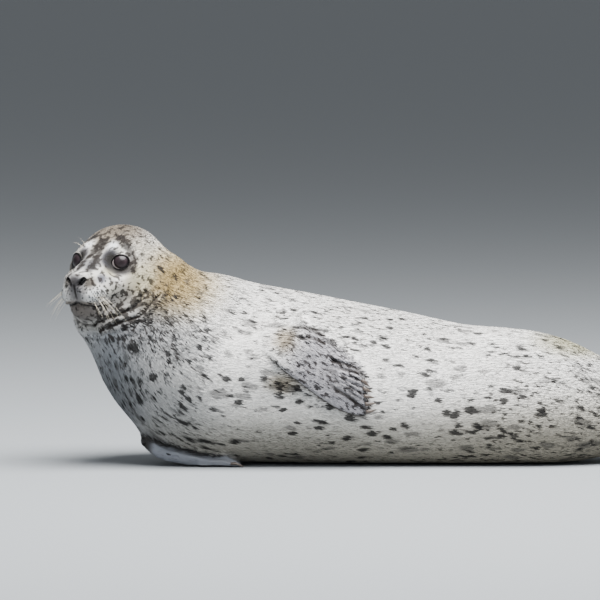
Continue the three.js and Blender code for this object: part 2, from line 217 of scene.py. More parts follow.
# %% Soft steps, bumps and lines
def ramp(value, start, stop):
    """0 up to start, 1 from stop on, and smooth between."""
    share = np.clip((value - start) / (stop - start), 0.0, 1.0)
    return share * share * (3.0 - 2.0 * share)


def fade(value, start, stop):
    """1 up to start, 0 from stop on, and smooth between."""
    return 1.0 - ramp(value, start, stop)


def bump(value, middle, half_width):
    """1 at the middle, falling smoothly to 0 half_width away."""
    return fade(np.abs(value - middle), 0.0, half_width)


print("a quarter of the way up a soft step", ramp(0.25, 0.0, 1.0))


def to_line(places, corners):
    """The distance of each place from a line through the corners."""
    nearest = np.full(len(places), np.inf)
    for first, last in zip(corners, corners[1:]):
        first, last = np.array(first, float), np.array(last, float)
        along = last - first
        share = np.clip((places - first) @ along / max(along @ along, 1e-9), 0.0, 1.0)
        nearest = np.minimum(nearest, np.linalg.norm(places - first - share[:, None] * along, axis=1))
    return nearest


# %% Reading, moving and smoothing the points of a mesh
def coordinates(mesh):
    """The places of a mesh's points, one to a row."""
    flat = np.empty(len(mesh.vertices) * 3)
    mesh.vertices.foreach_get("co", flat)
    return flat.reshape(-1, 3)


def put(mesh, points):
    """Moves a mesh's points to new places."""
    mesh.vertices.foreach_set("co", points.ravel())
    mesh.update()


def normals(mesh):
    """The way that the surface faces at each point."""
    flat = np.empty(len(mesh.vertices) * 3, np.float32)
    mesh.vertex_normals.foreach_get("vector", flat)
    return flat.reshape(-1, 3).astype(float)


def edges(mesh):
    """The numbers of the two points that each edge joins."""
    flat = np.empty(len(mesh.edges) * 2, np.int32)
    mesh.edges.foreach_get("vertices", flat)
    return flat.reshape(-1, 2)


GIVE_BACK = 1.02  # how much further each outward step goes than the inward one before it


def relax(points, pairs, share, rounds, keep_volume):
    """Moves each point towards the middle of its neighbours, and back out to keep the volume."""
    count = len(points)
    degree = np.maximum(np.bincount(pairs.ravel(), minlength=count), 1)[:, None]
    for i in range(rounds * (2 if keep_volume else 1)):
        total = np.stack(
            [
                np.bincount(pairs[:, 0], points[pairs[:, 1], k], count)
                + np.bincount(pairs[:, 1], points[pairs[:, 0], k], count)
                for k in range(3)
            ],
            axis=1,
        )
        step = share if i % 2 == 0 or not keep_volume else -share * GIVE_BACK
        points = points + step[:, None] * (total / degree - points)
    return points


# %% One sheet from the flesh solids
FLESH = ["head", "muzzle", "lower_jaw", "neck", "chest", "belly", "rump", "tail"]
FLIPPERS = [f"{pair}_flipper_{side}" for pair in ("fore", "hind") for side in ("left", "right")]
EYES = ["eye_left", "eye_right"]
VOXEL = 0.0072


def gathered_solids(names):
    """One loose mesh from copies of several solids, and the number of faces after each."""
    gathered = bmesh.new()
    counts = []
    for name in names:
        gathered.from_mesh(frame["nodes"][name].data)
        counts.append(len(gathered.faces))
    return gathered, counts


def object_of(name, mesh):
    """An object in the scene that shows the mesh."""
    made = bpy.data.objects.new(name, mesh)
    bpy.context.scene.collection.objects.link(made)
    return made


def sheet_of(names, voxel):
    """The skin: copies of the solids, remeshed into one closed sheet."""
    gathered, _ = gathered_solids(names)
    bmesh.ops.remove_doubles(gathered, verts=gathered.verts, dist=1e-5)
    mesh = bpy.data.meshes.new("skin")
    gathered.to_mesh(mesh)
    gathered.free()
    made = object_of("skin", mesh)
    deselect()
    made.select_set(True)
    bpy.context.view_layer.objects.active = made
    remesh = made.modifiers.new("one sheet", "REMESH")
    remesh.mode = "VOXEL"
    remesh.voxel_size = voxel
    bpy.ops.object.modifier_apply(modifier=remesh.name)
    return made


def largest_island(obj):
    """Deletes every piece of the sheet but its largest."""
    pairs = edges(obj.data)
    count = len(obj.data.vertices)
    label = np.arange(count)
    while True:
        low = np.minimum(label[pairs[:, 0]], label[pairs[:, 1]])
        new = label.copy()
        np.minimum.at(new, pairs[:, 0], low)
        np.minimum.at(new, pairs[:, 1], low)
        new = new[new]
        if (new == label).all():
            break
        label = new
    keep = np.bincount(label, minlength=count).argmax()
    if (label == keep).all():
        return
    work = bmesh.new()
    work.from_mesh(obj.data)
    work.verts.ensure_lookup_table()
    bmesh.ops.delete(work, geom=[work.verts[i] for i in np.nonzero(label != keep)[0]])
    work.to_mesh(obj.data)
    work.free()


skin = sheet_of(FLESH + FLIPPERS + EYES, VOXEL)
largest_island(skin)
print("sheet", len(skin.data.vertices), "points")

# %% Which solid each point lies on
REGIONS = FLESH + FLIPPERS + EYES


def region_tree():
    """A search tree over the solids, and the number of the solid that each of its faces is from."""
    gathered, counts = gathered_solids(REGIONS)
    tree = BVHTree.FromBMesh(gathered)
    gathered.free()
    return tree, np.repeat(np.arange(len(REGIONS)), np.diff(counts, prepend=0))


SOLIDS, OWNERS = region_tree()
print("solids in the sheet", len(REGIONS), "with", len(OWNERS), "faces")


# %% The near fore flipper's frame and outline
# Along it, up across it and out from the flank. Its edge runs from the shoulder down the leading
# side, round the digits and back up the trailing side, in mm.
FLAP_ROOT = np.array([-0.300, -0.130, 0.225])
FLAP_AXES = np.array([[0.860, 0.0, -0.510], [0.510, 0.0, 0.860], [0.0, -1.0, 0.0]])
FLAP_EDGE = [
    (-60, -6), (-12, -14), (20, -21), (55, -27), (89, -31), (123, -35), (155, -36), (177, -34),
    (194, -30), (206, -21), (209, -11), (204, -3), (196, 6), (188, 16), (180, 26), (172, 37),
    (160, 47), (145, 54), (120, 59), (77, 61), (48, 62), (20, 68), (-20, 90), (-60, 95),
]


print("flipper's outline", len(FLAP_EDGE), "corners")


def to_flap(points):
    """Places in the near fore flipper's own frame, in mm."""
    return (points - FLAP_ROOT) @ FLAP_AXES.T * 1000.0


def into_flap(flat):
    """How far inside the flipper's edge each place is, in mm; less than 0 outside it."""
    inside = np.zeros(len(flat), bool)
    away = np.full(len(flat), np.inf)
    for (x0, y0), (x1, y1) in zip(FLAP_EDGE, FLAP_EDGE[1:] + FLAP_EDGE[:1]):
        spans = (y0 > flat[:, 1]) != (y1 > flat[:, 1])
        inside ^= spans & (flat[:, 0] < x0 + (flat[:, 1] - y0) * (x1 - x0) / ((y1 - y0) or 1e-9))
        away = np.minimum(away, to_line(flat[:, :2], [(x0, y0), (x1, y1)]))
    return np.where(inside, away, -away)


def regions(points):
    """For each point, the number of the solid whose surface is nearest."""
    labels = OWNERS[[SOLIDS.find_nearest(Vector(p))[2] for p in points]]
    flipper, chest = REGIONS.index("fore_flipper_left"), REGIONS.index("chest")
    labels[(labels == flipper) & (into_flap(to_flap(points)) < -1.0)] = chest
    return labels


def among(labels, names):
    """Which labels are the numbers of the named solids."""
    return np.isin(labels, [REGIONS.index(name) for name in names])


def spread(mask, pairs, rounds):
    """Softens a mask over the sheet, so that one treatment fades into the next."""
    value = mask.astype(float)[:, None]
    return relax(np.repeat(value, 3, axis=1), pairs, np.full(len(mask), 0.5), rounds, False)[:, 0]


# %% Smooth away the facets
TRUNK_ROUNDS = 36  # enough to lose facets of about 40 mm
LIMB_ROUNDS = 3
COAT_DEPTH = 0.0025
LOWEST_SKIN = 0.0012  # the hair under the body fills the gap to the floor

points = coordinates(skin.data)
pairs = edges(skin.data)
label = regions(points)
delicate = spread(among(label, FLIPPERS + EYES + ["head", "muzzle", "lower_jaw"]), pairs, 10)
trunk_share = 0.5 * (1.0 - np.clip(delicate * 1.3, 0.0, 1.0))
points = relax(points, pairs, trunk_share, TRUNK_ROUNDS, False)
points = relax(points, pairs, 0.5 * delicate, LIMB_ROUNDS, True)
put(skin.data, points)
points = points - COAT_DEPTH * normals(skin.data)
points[:, 2] = np.maximum(points[:, 2], LOWEST_SKIN)
put(skin.data, points)
print("trunk smoothed; lowest point", round(points[:, 2].min() * 1000, 2), "mm")

# %% Finer mesh where there is more to see
def refine(choose):
    """Halves the edges of the faces whose middles choose picks."""
    mesh = skin.data
    middles = np.empty(len(mesh.polygons) * 3)
    mesh.polygons.foreach_get("center", middles)
    picked = choose(middles.reshape(-1, 3))
    deselect()
    skin.select_set(True)
    bpy.context.view_layer.objects.active = skin
    bpy.ops.object.mode_set(mode="EDIT")
    bpy.ops.mesh.select_mode(type="FACE")
    bpy.ops.mesh.select_all(action="DESELECT")
    bpy.ops.object.mode_set(mode="OBJECT")
    mesh.polygons.foreach_set("select", picked)
    bpy.ops.object.mode_set(mode="EDIT")
    bpy.ops.mesh.subdivide(number_cuts=1, smoothness=0.0, ngon=False)
    bpy.ops.object.mode_set(mode="OBJECT")
    return picked.sum()


def settle(choose, rounds):
    """Evens out the places that were refined, keeping their volume."""
    points = coordinates(skin.data)
    pairs = edges(skin.data)
    share = 0.5 * choose(points).astype(float)
    put(skin.data, relax(points, pairs, share, rounds, True))


def on_head(places):
    local = to_head(places)
    return (local[:, 0] > -105) & (np.abs(local[:, 1]) < 90) & (local[:, 2] > -125)


def on_face(places):
    local = to_head(places)
    return on_head(places) & (local[:, 0] > -30 - 0.35 * local[:, 2]) & (local[:, 2] > -105)


# %% Where the eyes sit and look
EYE_RADIUS = 19.5  # mm
SOCKET = (-19.0, 40.8, -4.05)  # the middle of an eyeball, in the head's frame
GAZE_OUT = {1: math.radians(27.0), -1: math.radians(20.0)}  # the seal's left and right
GAZE_UP = math.radians(12.0)


def eye_frame(side):
    """An eye's middle, and its gaze, outward and upward directions, in the head's frame."""
    ahead = math.cos(GAZE_UP)
    out = GAZE_OUT[side]
    gaze = np.array([ahead * math.cos(out), side * ahead * math.sin(out), math.sin(GAZE_UP)])
    middle = np.array([SOCKET[0], side * SOCKET[1], SOCKET[2]])
    rise = np.array([0.0, 0.0, 1.0]) - gaze[2] * gaze
    rise /= np.linalg.norm(rise)
    return middle, gaze, side * np.cross(rise, gaze), rise


print("the eyes are", 2 * SOCKET[1], "mm apart")


# %% Finer still round the eyes and nose, and on the flippers
def on_detail(places):
    """The places round the eyes, the nose, the whisker pads and the mouth."""
    local = to_head(places)
    picked = np.zeros(len(local), bool)
    for side in SIDES:
        middle, gaze, outward, rise = eye_frame(side)
        offset = local - middle
        picked |= (np.hypot(offset @ outward, offset @ rise) < 25) & (offset @ gaze > 0)
    picked |= (local[:, 0] > 58) & (local[:, 2] > -72) & (local[:, 2] < 2)
    return picked


def on_flipper(places):
    return among(regions(places), FLIPPERS)


def on_near_flipper(places):
    return among(regions(places), ["fore_flipper_left"])


# Where to refine, how many rounds evening it out takes, and how far it is first drawn back.
REFINED = (
    (on_head, 4, 0.0),
    (on_face, 3, 0.0),
    (on_detail, 2, 0.0),
    (on_flipper, 2, 0.8),
    (on_near_flipper, 4, 0.6),
)


def wrap(choose, share):
    """Draws the chosen points back to the solids, less the depth of the coat."""
    points = coordinates(skin.data)
    for i in np.nonzero(choose(points))[0]:
        place, normal, _, _ = SOLIDS.find_nearest(Vector(points[i]))
        points[i] += share * (np.array(place - COAT_DEPTH * normal) - points[i])
    put(skin.data, points)


for choose, rounds, drawn in REFINED:
    print("refined", refine(choose), "faces for", choose.__name__)
    if drawn:
        wrap(choose, drawn)
    settle(choose, rounds)

# %% [markdown]
# ## The flippers
#
# A fore flipper is a short paddle of five digits in one mitten of skin, and each digit ends at
# a claw. Its outline could be cut from the sheet, but the cut would leave a wall where it should
# swell out of the shoulder. So the near one is a height field: each point in front of the flank
# is set as far out as a soft paddle there would be, with ridges for the digits and grooves for
# the folds of the armpit. The ends of the others are drawn out until they hold their claws.

# %% The near flipper's digits and folds
# Its thickness in mm, at these distances along it.
FLAP_THICK = ((-20, 20, 55, 90, 125, 160, 190, 212), (14, 20, 20, 18, 15, 12, 9, 6))
FLAP_SINK = 3.0  # mm that its back lies inside the flank
DIGIT_RIDGE, CREASE_LIP, CREASE_DEEP, LOOSE_FOLD = 3.0, 1.4, 2.0, 2.6  # how high or deep, in mm
DIGITS = [(203, -4), (195, 6), (187, 16), (179, 26), (171, 36)]  # their ends
DIGIT_ROOT, DIGIT_FAN = (95.0, 8.0), 0.25  # where they start, and how spread they are there
# Creases of the skin where the flipper is drawn back over the shoulder, in the flipper's frame.
FLAP_CREASES = [
    [(17, 53), (49, 64), (72, 74)],
    [(35, 40), (56, 52), (80, 54)],
    [(51, 62), (73, 63), (96, 58)],
    [(109, 64), (122, 61)],
    [(104, 34), (120, 39), (137, 43), (160, 46)],
]


def digit_reach(flat):
    """How far each place is from the nearest digit's middle line, in mm."""
    x, y = DIGIT_ROOT
    rays = [to_line(flat[:, :2], [(x, y + DIGIT_FAN * (end[1] - y)), end]) for end in DIGITS]
    return np.min(rays, axis=0)


def crease_reach(flat):
    """How far each place is from the nearest crease, in mm."""
    return np.min([to_line(flat[:, :2], line) for line in FLAP_CREASES], axis=0)


def near_flap(flat):
    """Which places are on or round the near flipper."""
    return (
        (np.abs(flat[:, 0] - 85) < 165)
        & (np.abs(flat[:, 1] - 15) < 100)
        & (np.abs(flat[:, 2]) < 75)
    )


# %% The near flipper laid on the flank
def flank_under(places):
    """How far out the flank is behind each place, in the flipper's frame; and if it is there."""
    gathered, _ = gathered_solids(["neck", "chest", "belly", "rump"])
    flank = BVHTree.FromBMesh(gathered)
    gathered.free()
    towards = Vector((0.0, 1.0, 0.0))
    hits = [flank.ray_cast(Vector(p) - 0.3 * towards, towards)[0] for p in places]
    found = np.array([hit is not None for hit in hits])
    return np.array([to_flap(np.array(hit))[2] if hit else 0.0 for hit in hits]), found


def paddle_height(flat, deep):
    """How far the flipper stands out of the flank, with its digits and folds, in mm."""
    thick = np.interp(flat[:, 0], *FLAP_THICK) * ramp(flat[:, 0], -35.0, 45.0)
    round_edge = np.interp(flat[:, 0], (0.0, 200.0), (15.0, 8.0))
    round_edge -= 5.0 * ramp(-flat[:, 1], 0.0, 18.0)  # the leading edge is the sharper one
    raised = thick * np.sqrt(1.0 - (1.0 - np.clip(deep / round_edge, 0.0, 1.0)) ** 2)
    digit = fade(digit_reach(flat), 0.0, 5.0) * ramp(flat[:, 0], 105.0, 150.0) * (deep > 0)
    crease = crease_reach(flat)
    lip, groove = bump(crease, 5.5, 4.5), fade(crease, 0.5, 3.6)
    raised += DIGIT_RIDGE * digit + CREASE_LIP * lip - CREASE_DEEP * groove
    # Folds of loose skin run along the trailing side, outside the edge.
    fold = np.clip((-deep - 1.0) / 17.0, 0.0, 1.0)
    trailing = (flat[:, 1] > 50) * ramp(flat[:, 0], -5.0, 30.0) * fade(flat[:, 0], 90.0, 130.0)
    return raised + LOOSE_FOLD * np.sin(2.5 * math.pi * fold) ** 2 * (1.0 - fold) * trailing


def shape_flap(points):
    """Lays the near flipper on the flank as a thin, rounded paddle that swells out of the shoulder."""
    chosen = np.nonzero(near_flap(to_flap(points)) & (points[:, 1] < 0.0))[0]
    flat = to_flap(points[chosen])
    deep = into_flap(flat)
    body, found = flank_under(points[chosen])
    raised = body - FLAP_SINK + paddle_height(flat, deep)
    share = fade(-deep, 20.0, 32.0) * ramp(flat[:, 0], -50.0, -20.0) * found
    points[chosen, 1] -= share * (raised - flat[:, 2]) / 1000.0
    outside = np.zeros(len(points))
    outside[chosen] = 0.5 * share * ramp(-deep, 1.0, 5.0)
    return points, outside


# %% Digits that hold their claws
DIGIT_OVER_CLAW = 3.0  # mm of each claw that its digit covers


def claw_axis(solid):
    """A plain claw's root, the way it points and its length, in mm."""
    plain = coordinates(solid.data) * 1000.0
    middle = plain.mean(axis=0)
    way = np.linalg.svd(plain - middle)[2][0]
    way = way if way[0] > 0 else -way
    reach = (plain - middle) @ way
    return middle + way * reach.min(), way, np.ptp(reach)


def reach_claws(points):
    """Draws the end of each digit out until it holds the root of its claw."""
    moved = points * 1000.0
    drawn = []
    for name, solid in frame["nodes"].items():
        if "claw" not in name or "fore_claw_left" in name:
            continue
        root, way, _ = claw_axis(solid)
        offset = moved - root
        before = offset @ way
        away = np.linalg.norm(offset - np.outer(before, way), axis=1)
        nearby = (away < 5.0) & (np.abs(before) < 50.0)
        gap = DIGIT_OVER_CLAW - before[nearby].max() if nearby.any() else 0.0
        drawn.append(gap)
        if gap > 0.0:
            share = ramp(before, -18.0 - 1.6 * gap, DIGIT_OVER_CLAW - gap) * fade(away, 3.5, 11.0)
            moved += np.outer(gap * share * (np.abs(before) < 80.0), way)
    print("digits drawn out by", np.round(drawn).astype(int), "mm")
    return moved / 1000.0


points, outside = shape_flap(coordinates(skin.data))
points = reach_claws(points)

# %% The chin evened out, and the far flipper set off from the chest
FLIPPER_PROUD = 0.65  # how much higher the leading edge of the far flipper stands
SEAM_DEEP = 0.0022  # the crease between the far flipper and the chest
TIP_LONGER = 0.010

local = to_head(points)
chin = fade(local[:, 2], -72.0, -60.0) * ramp(local[:, 2], -125.0, -105.0)
chin *= ramp(local[:, 0], 5.0, 25.0) * (np.abs(local[:, 1]) < 85)
points = relax(points, edges(skin.data), 0.5 * chin, 30, False)

across = points[:, 0]
height = points[:, 2].copy()
far_side = among(regions(points), ["fore_flipper_right"])
proud = FLIPPER_PROUD * ramp(across, -0.52, -0.44) * (1.0 - 0.7 * ramp(across, -0.398, -0.372))
points[:, 2] += far_side * proud * height
soft_side = spread(far_side, edges(skin.data), 4)
seam = np.clip(4.0 * soft_side * (1.0 - soft_side), 0.0, 1.0) * ramp(points[:, 2], 0.006, 0.014)
seam *= ramp(across, -0.55, -0.52) * fade(across, -0.410, -0.385)
points[:, 0] += TIP_LONGER * soft_side * ramp(across, -0.415, -0.378) * (points[:, 1] < -0.03)
points -= (SEAM_DEEP * seam)[:, None] * normals(skin.data)
points = relax(points, edges(skin.data), outside, 6, False)
put(skin.data, points)
calmed = 0.4 * (outside > 0) + 0.3 * far_side
put(skin.data, relax(coordinates(skin.data), edges(skin.data), calmed, 2, True))
skin.data.validate()
triangles = sum(len(p.vertices) - 2 for p in skin.data.polygons)
print("skin", len(skin.data.vertices), "points,", triangles, "triangles")

# %% [markdown]
# ## The face
#
# Lids, nostrils, lips and folds are sunk into the one sheet, as a modeller would press them into
# clay. They could be separate rings and slits, but then a seam would run round each. Every
# feature is a soft-edged oval, line or plane in the head's own frame, so that it is placed in
# millimetres and mirrored by changing one sign.

# %% Tools for pressing shapes into the sheet
def mirrored(corners, side):
    """The corners as they lie on the seal's left or, mirrored, on its right."""
    return [(x, side * y, z) for x, y, z in corners]


def away_from(places, spot, side):
    """How far each place is from a spot on one side of the head."""
    return np.linalg.norm(places - np.array(mirrored([spot], side)[0]), axis=1)


def laid_on(corners, finder, surface, steps=6):
    """The corners and places between them, each moved to the nearest point of a surface."""
    corners = np.array(corners)
    share = np.linspace(0.0, 1.0, steps)[:, None]
    dense = np.vstack([a + share * (b - a) for a, b in zip(corners, corners[1:])])
    return [tuple(surface[finder.find(Vector(p))[1]]) for p in dense]


# %% Lids round the eyes
LID_HALF_WIDTH = 15.3
LID_HALF_HEIGHT = 11.3
LID_TILT = math.radians(-4.0)
LID_THICK = 1.7
LID_SUNK = 3.5  # how far inside the eyeball the sheet dips behind the opening
LID_RIM, EYE_BAG, LID_CREASE = 0.5, 0.7, 1.1  # mm


def lid_reach(local, side):
    """How far out of the eye's opening a place is: 1 on the lids' edge; and if it is in front."""
    middle, gaze, outward, rise = eye_frame(side)
    offset = local - middle
    across, height = offset @ outward, offset @ rise
    across, height = (
        across * math.cos(LID_TILT) - height * math.sin(LID_TILT),
        across * math.sin(LID_TILT) + height * math.cos(LID_TILT),
    )
    reach = np.hypot(across / LID_HALF_WIDTH, height / LID_HALF_HEIGHT)
    inner_corner = np.exp(-(((across + LID_HALF_WIDTH) / 4.0) ** 2) - ((height + 1.0) / 2.5) ** 2)
    return reach - 0.16 * inner_corner, across, height, offset @ gaze > -2.0


def open_lids(local, side):
    """Draws the sheet over the eyeball as two lids, with creases, and sinks it in the opening."""
    middle, _, _, _ = eye_frame(side)
    reach, _, height, front = lid_reach(local, side)
    offset = local - middle
    radius = np.linalg.norm(offset, axis=1)
    edge = EYE_RADIUS + LID_THICK + LID_RIM * bump(reach, 1.1, 0.2)
    lid = edge + (radius - edge) * ramp(reach, 1.15, 1.9)
    below = ramp(-height, -3.0, 6.0)
    above = ramp(height, 2.0, 9.0)
    window = ramp(reach, 1.15, 1.3) * fade(reach, 1.8, 2.3)
    lid += EYE_BAG * np.cos((reach - 1.16) * 22.0) * window * below  # fine bags under the eye
    lid -= LID_CREASE * bump(reach, 1.45, 0.2) * above  # the crease over the upper lid
    sunk = EYE_RADIUS - LID_SUNK
    wanted = lid + (sunk - lid) * fade(reach, 0.93, 1.0)
    chosen = front & (reach < 2.4)
    local[chosen] = (middle + offset * (wanted / radius)[:, None])[chosen]
    return local


# %% Nostrils, lips, pads and folds
NOSTRIL = ((85.0, 7.0, -27.0), (74.0, 20.5, -10.5))
NOSTRIL_HALF_WIDTH = 6.2
NOSTRIL_DEEP, NOSTRIL_RIM = 8.0, 0.9
PHILTRUM = ((86.5, 0.0, -25.0), (83.0, 0.0, -40.0), (79.0, 0.0, -56.0))
MOUTH = (
    (79.5, 0.0, -57.5),
    (77.0, 9.0, -61.5),
    (72.0, 23.0, -64.5),
    (54.0, 33.5, -69.5),
    (28.0, 43.0, -72.0),
)
EAR = (-49.0, 73.0, 5.5)
# How deep or high these are, in mm: the slit of the mouth with its upper and lower lip, the ear's
# hole, the line under the nose, a jaw fold with the skin beside it, and the folds of the throat.
LIP_SLIT, UPPER_LIP, LOWER_LIP = 2.0, 1.6, 1.8
EAR_DEEP, PHILTRUM_DEEP = 3.0, 1.2
JAW_FOLD_DEEP, JAW_FOLD_LIP = 2.8, 1.7
THROAT_FOLD = 0.6
FOLD_NORMAL = (0.643, 0.0, 0.766)  # the throat's shallow folds lie across this direction
FOLD_FIRST = -56.5
FOLD_APART = 13.0
JAW_FOLDS = [
    (
        (44.0, -14.0, -108.5),
        (41.7, 30.8, -98.0),
        (23.7, 50.6, -92.2),
        (2.9, 69.0, -83.3),
        (-10.7, 76.9, -73.1),
        (-26.5, 84.3, -55.9),
    ),
    (
        (41.6, 16.9, -116.4),
        (26.8, 50.7, -108.3),
        (-0.8, 87.0, -94.8),
        (-14.8, 92.7, -82.9),
        (-38.0, 100.0, -66.0),
    ),
]
# Places that are fuller than the solids: the middle, the radius, how much and which way.
FULLER = [
    ((68.0, 15.0, -10.0), 24.0, 6.5, (0.55, 0.50, 0.65)),
    ((42.0, 36.0, -12.0), 32.0, 7.0, (0.25, 0.90, 0.35)),
    ((80.0, 14.0, -46.0), 26.0, 2.5, (0.90, 0.30, 0.00)),
    ((-5.0, 52.0, 22.0), 20.0, 2.5, (0.40, 0.80, 0.40)),
    ((62.0, 27.0, -14.0), 26.0, 5.0, (0.25, 0.85, 0.35)),
]


# %% Swelling and pressing the face
def fill_face(local):
    """Swells the cheeks, the pads and the bridge of the nose beyond the solids."""
    for side in SIDES:
        for middle, radius, amount, way in FULLER:
            reach = away_from(local, middle, side) / radius
            way_out = np.array(mirrored([way], side)[0])
            local += (amount * fade(reach, 0.0, 1.0))[:, None] * way_out
    return local


def press_nostril(local, normal, side):
    """Sinks an oval slit, and lifts a soft rim round it."""
    inner, outer = (np.array(p) for p in mirrored(NOSTRIL, side))
    middle = (inner + outer) / 2
    along = outer - inner
    half = np.linalg.norm(along) / 2
    along /= 2 * half
    facing = normal[np.argmin(np.linalg.norm(local - middle, axis=1))]
    facing = facing - (facing @ along) * along
    facing /= np.linalg.norm(facing)
    offset = local - middle
    reach = np.hypot(offset @ along / half, offset @ np.cross(facing, along) / NOSTRIL_HALF_WIDTH)
    reach[np.linalg.norm(offset, axis=1) > 22] = 9.0
    inward = -facing - 0.35 * np.array([1.0, 0.0, 0.0])
    hole = (NOSTRIL_DEEP * fade(reach, 0.55, 1.0))[:, None] * inward
    return local + hole + (NOSTRIL_RIM * bump(reach, 1.25, 0.35))[:, None] * facing


def press_face(local, normal):
    """All the soft features of the head, in the head's frame and in mm."""
    for side in SIDES:
        local = open_lids(local, side)
    for side in SIDES:
        local = press_nostril(local, normal, side)
        lips = to_line(local, LIP_LINES[side])
        on_side = local[:, 1] * side >= -0.5
        over_mouth = local[:, 2] + 57.0 + 0.25 * (79.0 - local[:, 0]) + 0.18 * np.abs(local[:, 1])
        upper = ramp(over_mouth, -1.0, 1.0)
        groove = -LIP_SLIT * fade(lips, 0.6, 2.8) + UPPER_LIP * bump(lips, 4.5, 4.0) * upper
        groove -= LOWER_LIP * bump(lips, 5.0, 5.0) * (1.0 - upper)
        local += (groove * on_side)[:, None] * normal
        ear = away_from(local, EAR, side)
        local -= (EAR_DEEP * fade(ear, 0.8, 3.5))[:, None] * normal
        for fold in FOLD_LINES[side]:
            near = to_line(local, fold)
            raised = JAW_FOLD_LIP * bump(near, 6.5, 5.0) - JAW_FOLD_DEEP * fade(near, 0.5, 4.5)
            local += raised[:, None] * normal
    philtrum = fade(to_line(local, PHILTRUM_LINE), 0.4, 3.0)
    local -= (PHILTRUM_DEEP * philtrum)[:, None] * normal
    across = local @ np.array(FOLD_NORMAL)
    turn = (across - FOLD_FIRST) * 2 * math.pi / FOLD_APART
    window = ramp(across, -94.0, -80.0) * fade(across, -54.0, -44.0)
    window *= fade(local[:, 2], -70.0, -38.0)
    return local + (THROAT_FOLD * np.cos(turn) * window)[:, None] * normal


# %% The face pressed into the sheet
HEAD_REACH = 160.0  # mm from the head's middle that the face's features may move


def finder_of(places):
    """A search tree over places, which gives the number of the nearest."""
    made = KDTree(len(places))
    for i, place in enumerate(places):
        made.insert(place, i)
    made.balance()
    return made


points = coordinates(skin.data)
unpressed = points.copy()
on_or_near = on_head(points) | (np.linalg.norm(to_head(points), axis=1) < HEAD_REACH)
head_points = np.nonzero(on_or_near)[0]
bare_face = fill_face(to_head(points[head_points]))
unpressed[head_points] = from_head(bare_face)
finder = finder_of(bare_face)


def laid(line, side):
    """A line of the face, on one side, laid on the swelled surface."""
    return laid_on(mirrored(line, side), finder, bare_face)


LIP_LINES = {side: laid(MOUTH, side) for side in SIDES}
NOSTRILS = {side: laid(NOSTRIL, side) for side in SIDES}
FOLD_LINES = {side: [laid(fold, side) for fold in JAW_FOLDS] for side in SIDES}
PHILTRUM_LINE = laid(PHILTRUM, 1)
local = press_face(bare_face.copy(), normals(skin.data)[head_points] @ HEAD_AXES.T)
points[head_points] = from_head(local)
put(skin.data, points)

# One soft round of smoothing along the lids' edges.
pairs = edges(skin.data)
rim = np.zeros(len(points))
for side in SIDES:
    reach, _, _, front = lid_reach(to_head(points), side)
    rim = np.maximum(rim, bump(reach, 1.05, 0.25) * front)
put(skin.data, relax(points, pairs, 0.4 * rim, 1, False))
for polygon in skin.data.polygons:
    polygon.use_smooth = True
print("face pressed into", len(head_points), "points")

# %% [markdown]
# ## The eyes
#
# A seal's eye is a big, nearly round ball, with a purple-brown iris that almost fills the lids
# and a flattened clear cornea. It is a sphere turned to face along the gaze, with its front
# pulled out a little. The iris is painted by the distance from the gaze, so it needs no image.

# %% Two eyeballs
CORNEA_PROUD = 0.0006
CORNEA_WIDE = 0.010


def note(mesh, name, values):
    """Keeps a number, a vector or a colour with alpha for each point, as an attribute."""
    kinds = {1: ("FLOAT", "value"), 3: ("FLOAT_VECTOR", "vector"), 4: ("FLOAT_COLOR", "color")}
    kind, field = kinds[values.size // len(values)]
    made = mesh.attributes.new(name, kind, "POINT")
    made.data.foreach_set(field, values.astype(np.float32).ravel())


def eyeball(side):
    """A ball that looks along the gaze, its front pulled out, with places noted for the paint."""
    middle, gaze, outward, rise = eye_frame(side)
    place = from_head(middle)
    facing = Vector(gaze @ HEAD_AXES)
    deselect()
    bpy.ops.mesh.primitive_uv_sphere_add(
        segments=64,
        ring_count=48,
        radius=EYE_RADIUS / 1000.0,
        location=place,
        rotation=facing.to_track_quat("Z", "Y").to_euler(),
    )
    made = bpy.context.active_object
    made.name = "eyeball_left" if side > 0 else "eyeball_right"
    bpy.ops.object.transform_apply(location=True, rotation=True, scale=True)
    bpy.ops.object.mode_set(mode="EDIT")
    bpy.ops.mesh.select_all(action="DESELECT")
    bpy.ops.object.mode_set(mode="OBJECT")
    front = (coordinates(made.data) - place) @ np.array(facing) > 0.96 * EYE_RADIUS / 1000.0
    made.data.vertices.foreach_set("select", front)
    bpy.ops.object.mode_set(mode="EDIT")
    bpy.ops.transform.translate(
        value=facing * CORNEA_PROUD,
        use_proportional_edit=True,
        proportional_edit_falloff="SMOOTH",
        proportional_size=CORNEA_WIDE,
    )
    bpy.ops.object.mode_set(mode="OBJECT")
    bpy.ops.object.shade_smooth()
    offset = coordinates(made.data) - place
    turned = [offset @ (axis @ HEAD_AXES) for axis in (outward, rise, gaze)]
    note(made.data, "gaze", np.stack(turned, axis=1))
    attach(made, "root")
    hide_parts("eye_left" if side > 0 else "eye_right")
    return made


eyes = [eyeball(side) for side in SIDES]
print("eyeballs", [len(e.data.polygons) for e in eyes], "faces")

# %% [markdown]
# ## The wet eye
#
# What shows between the lids is a dark iris behind a clear cornea under tears. The cornea could
# be a second, clear shell, but the export can't bake light that bends through one. So one surface
# does it all: rings of colour for the iris and the white, a broad soft shine, and a thin clear
# coat on top for the wet highlight.

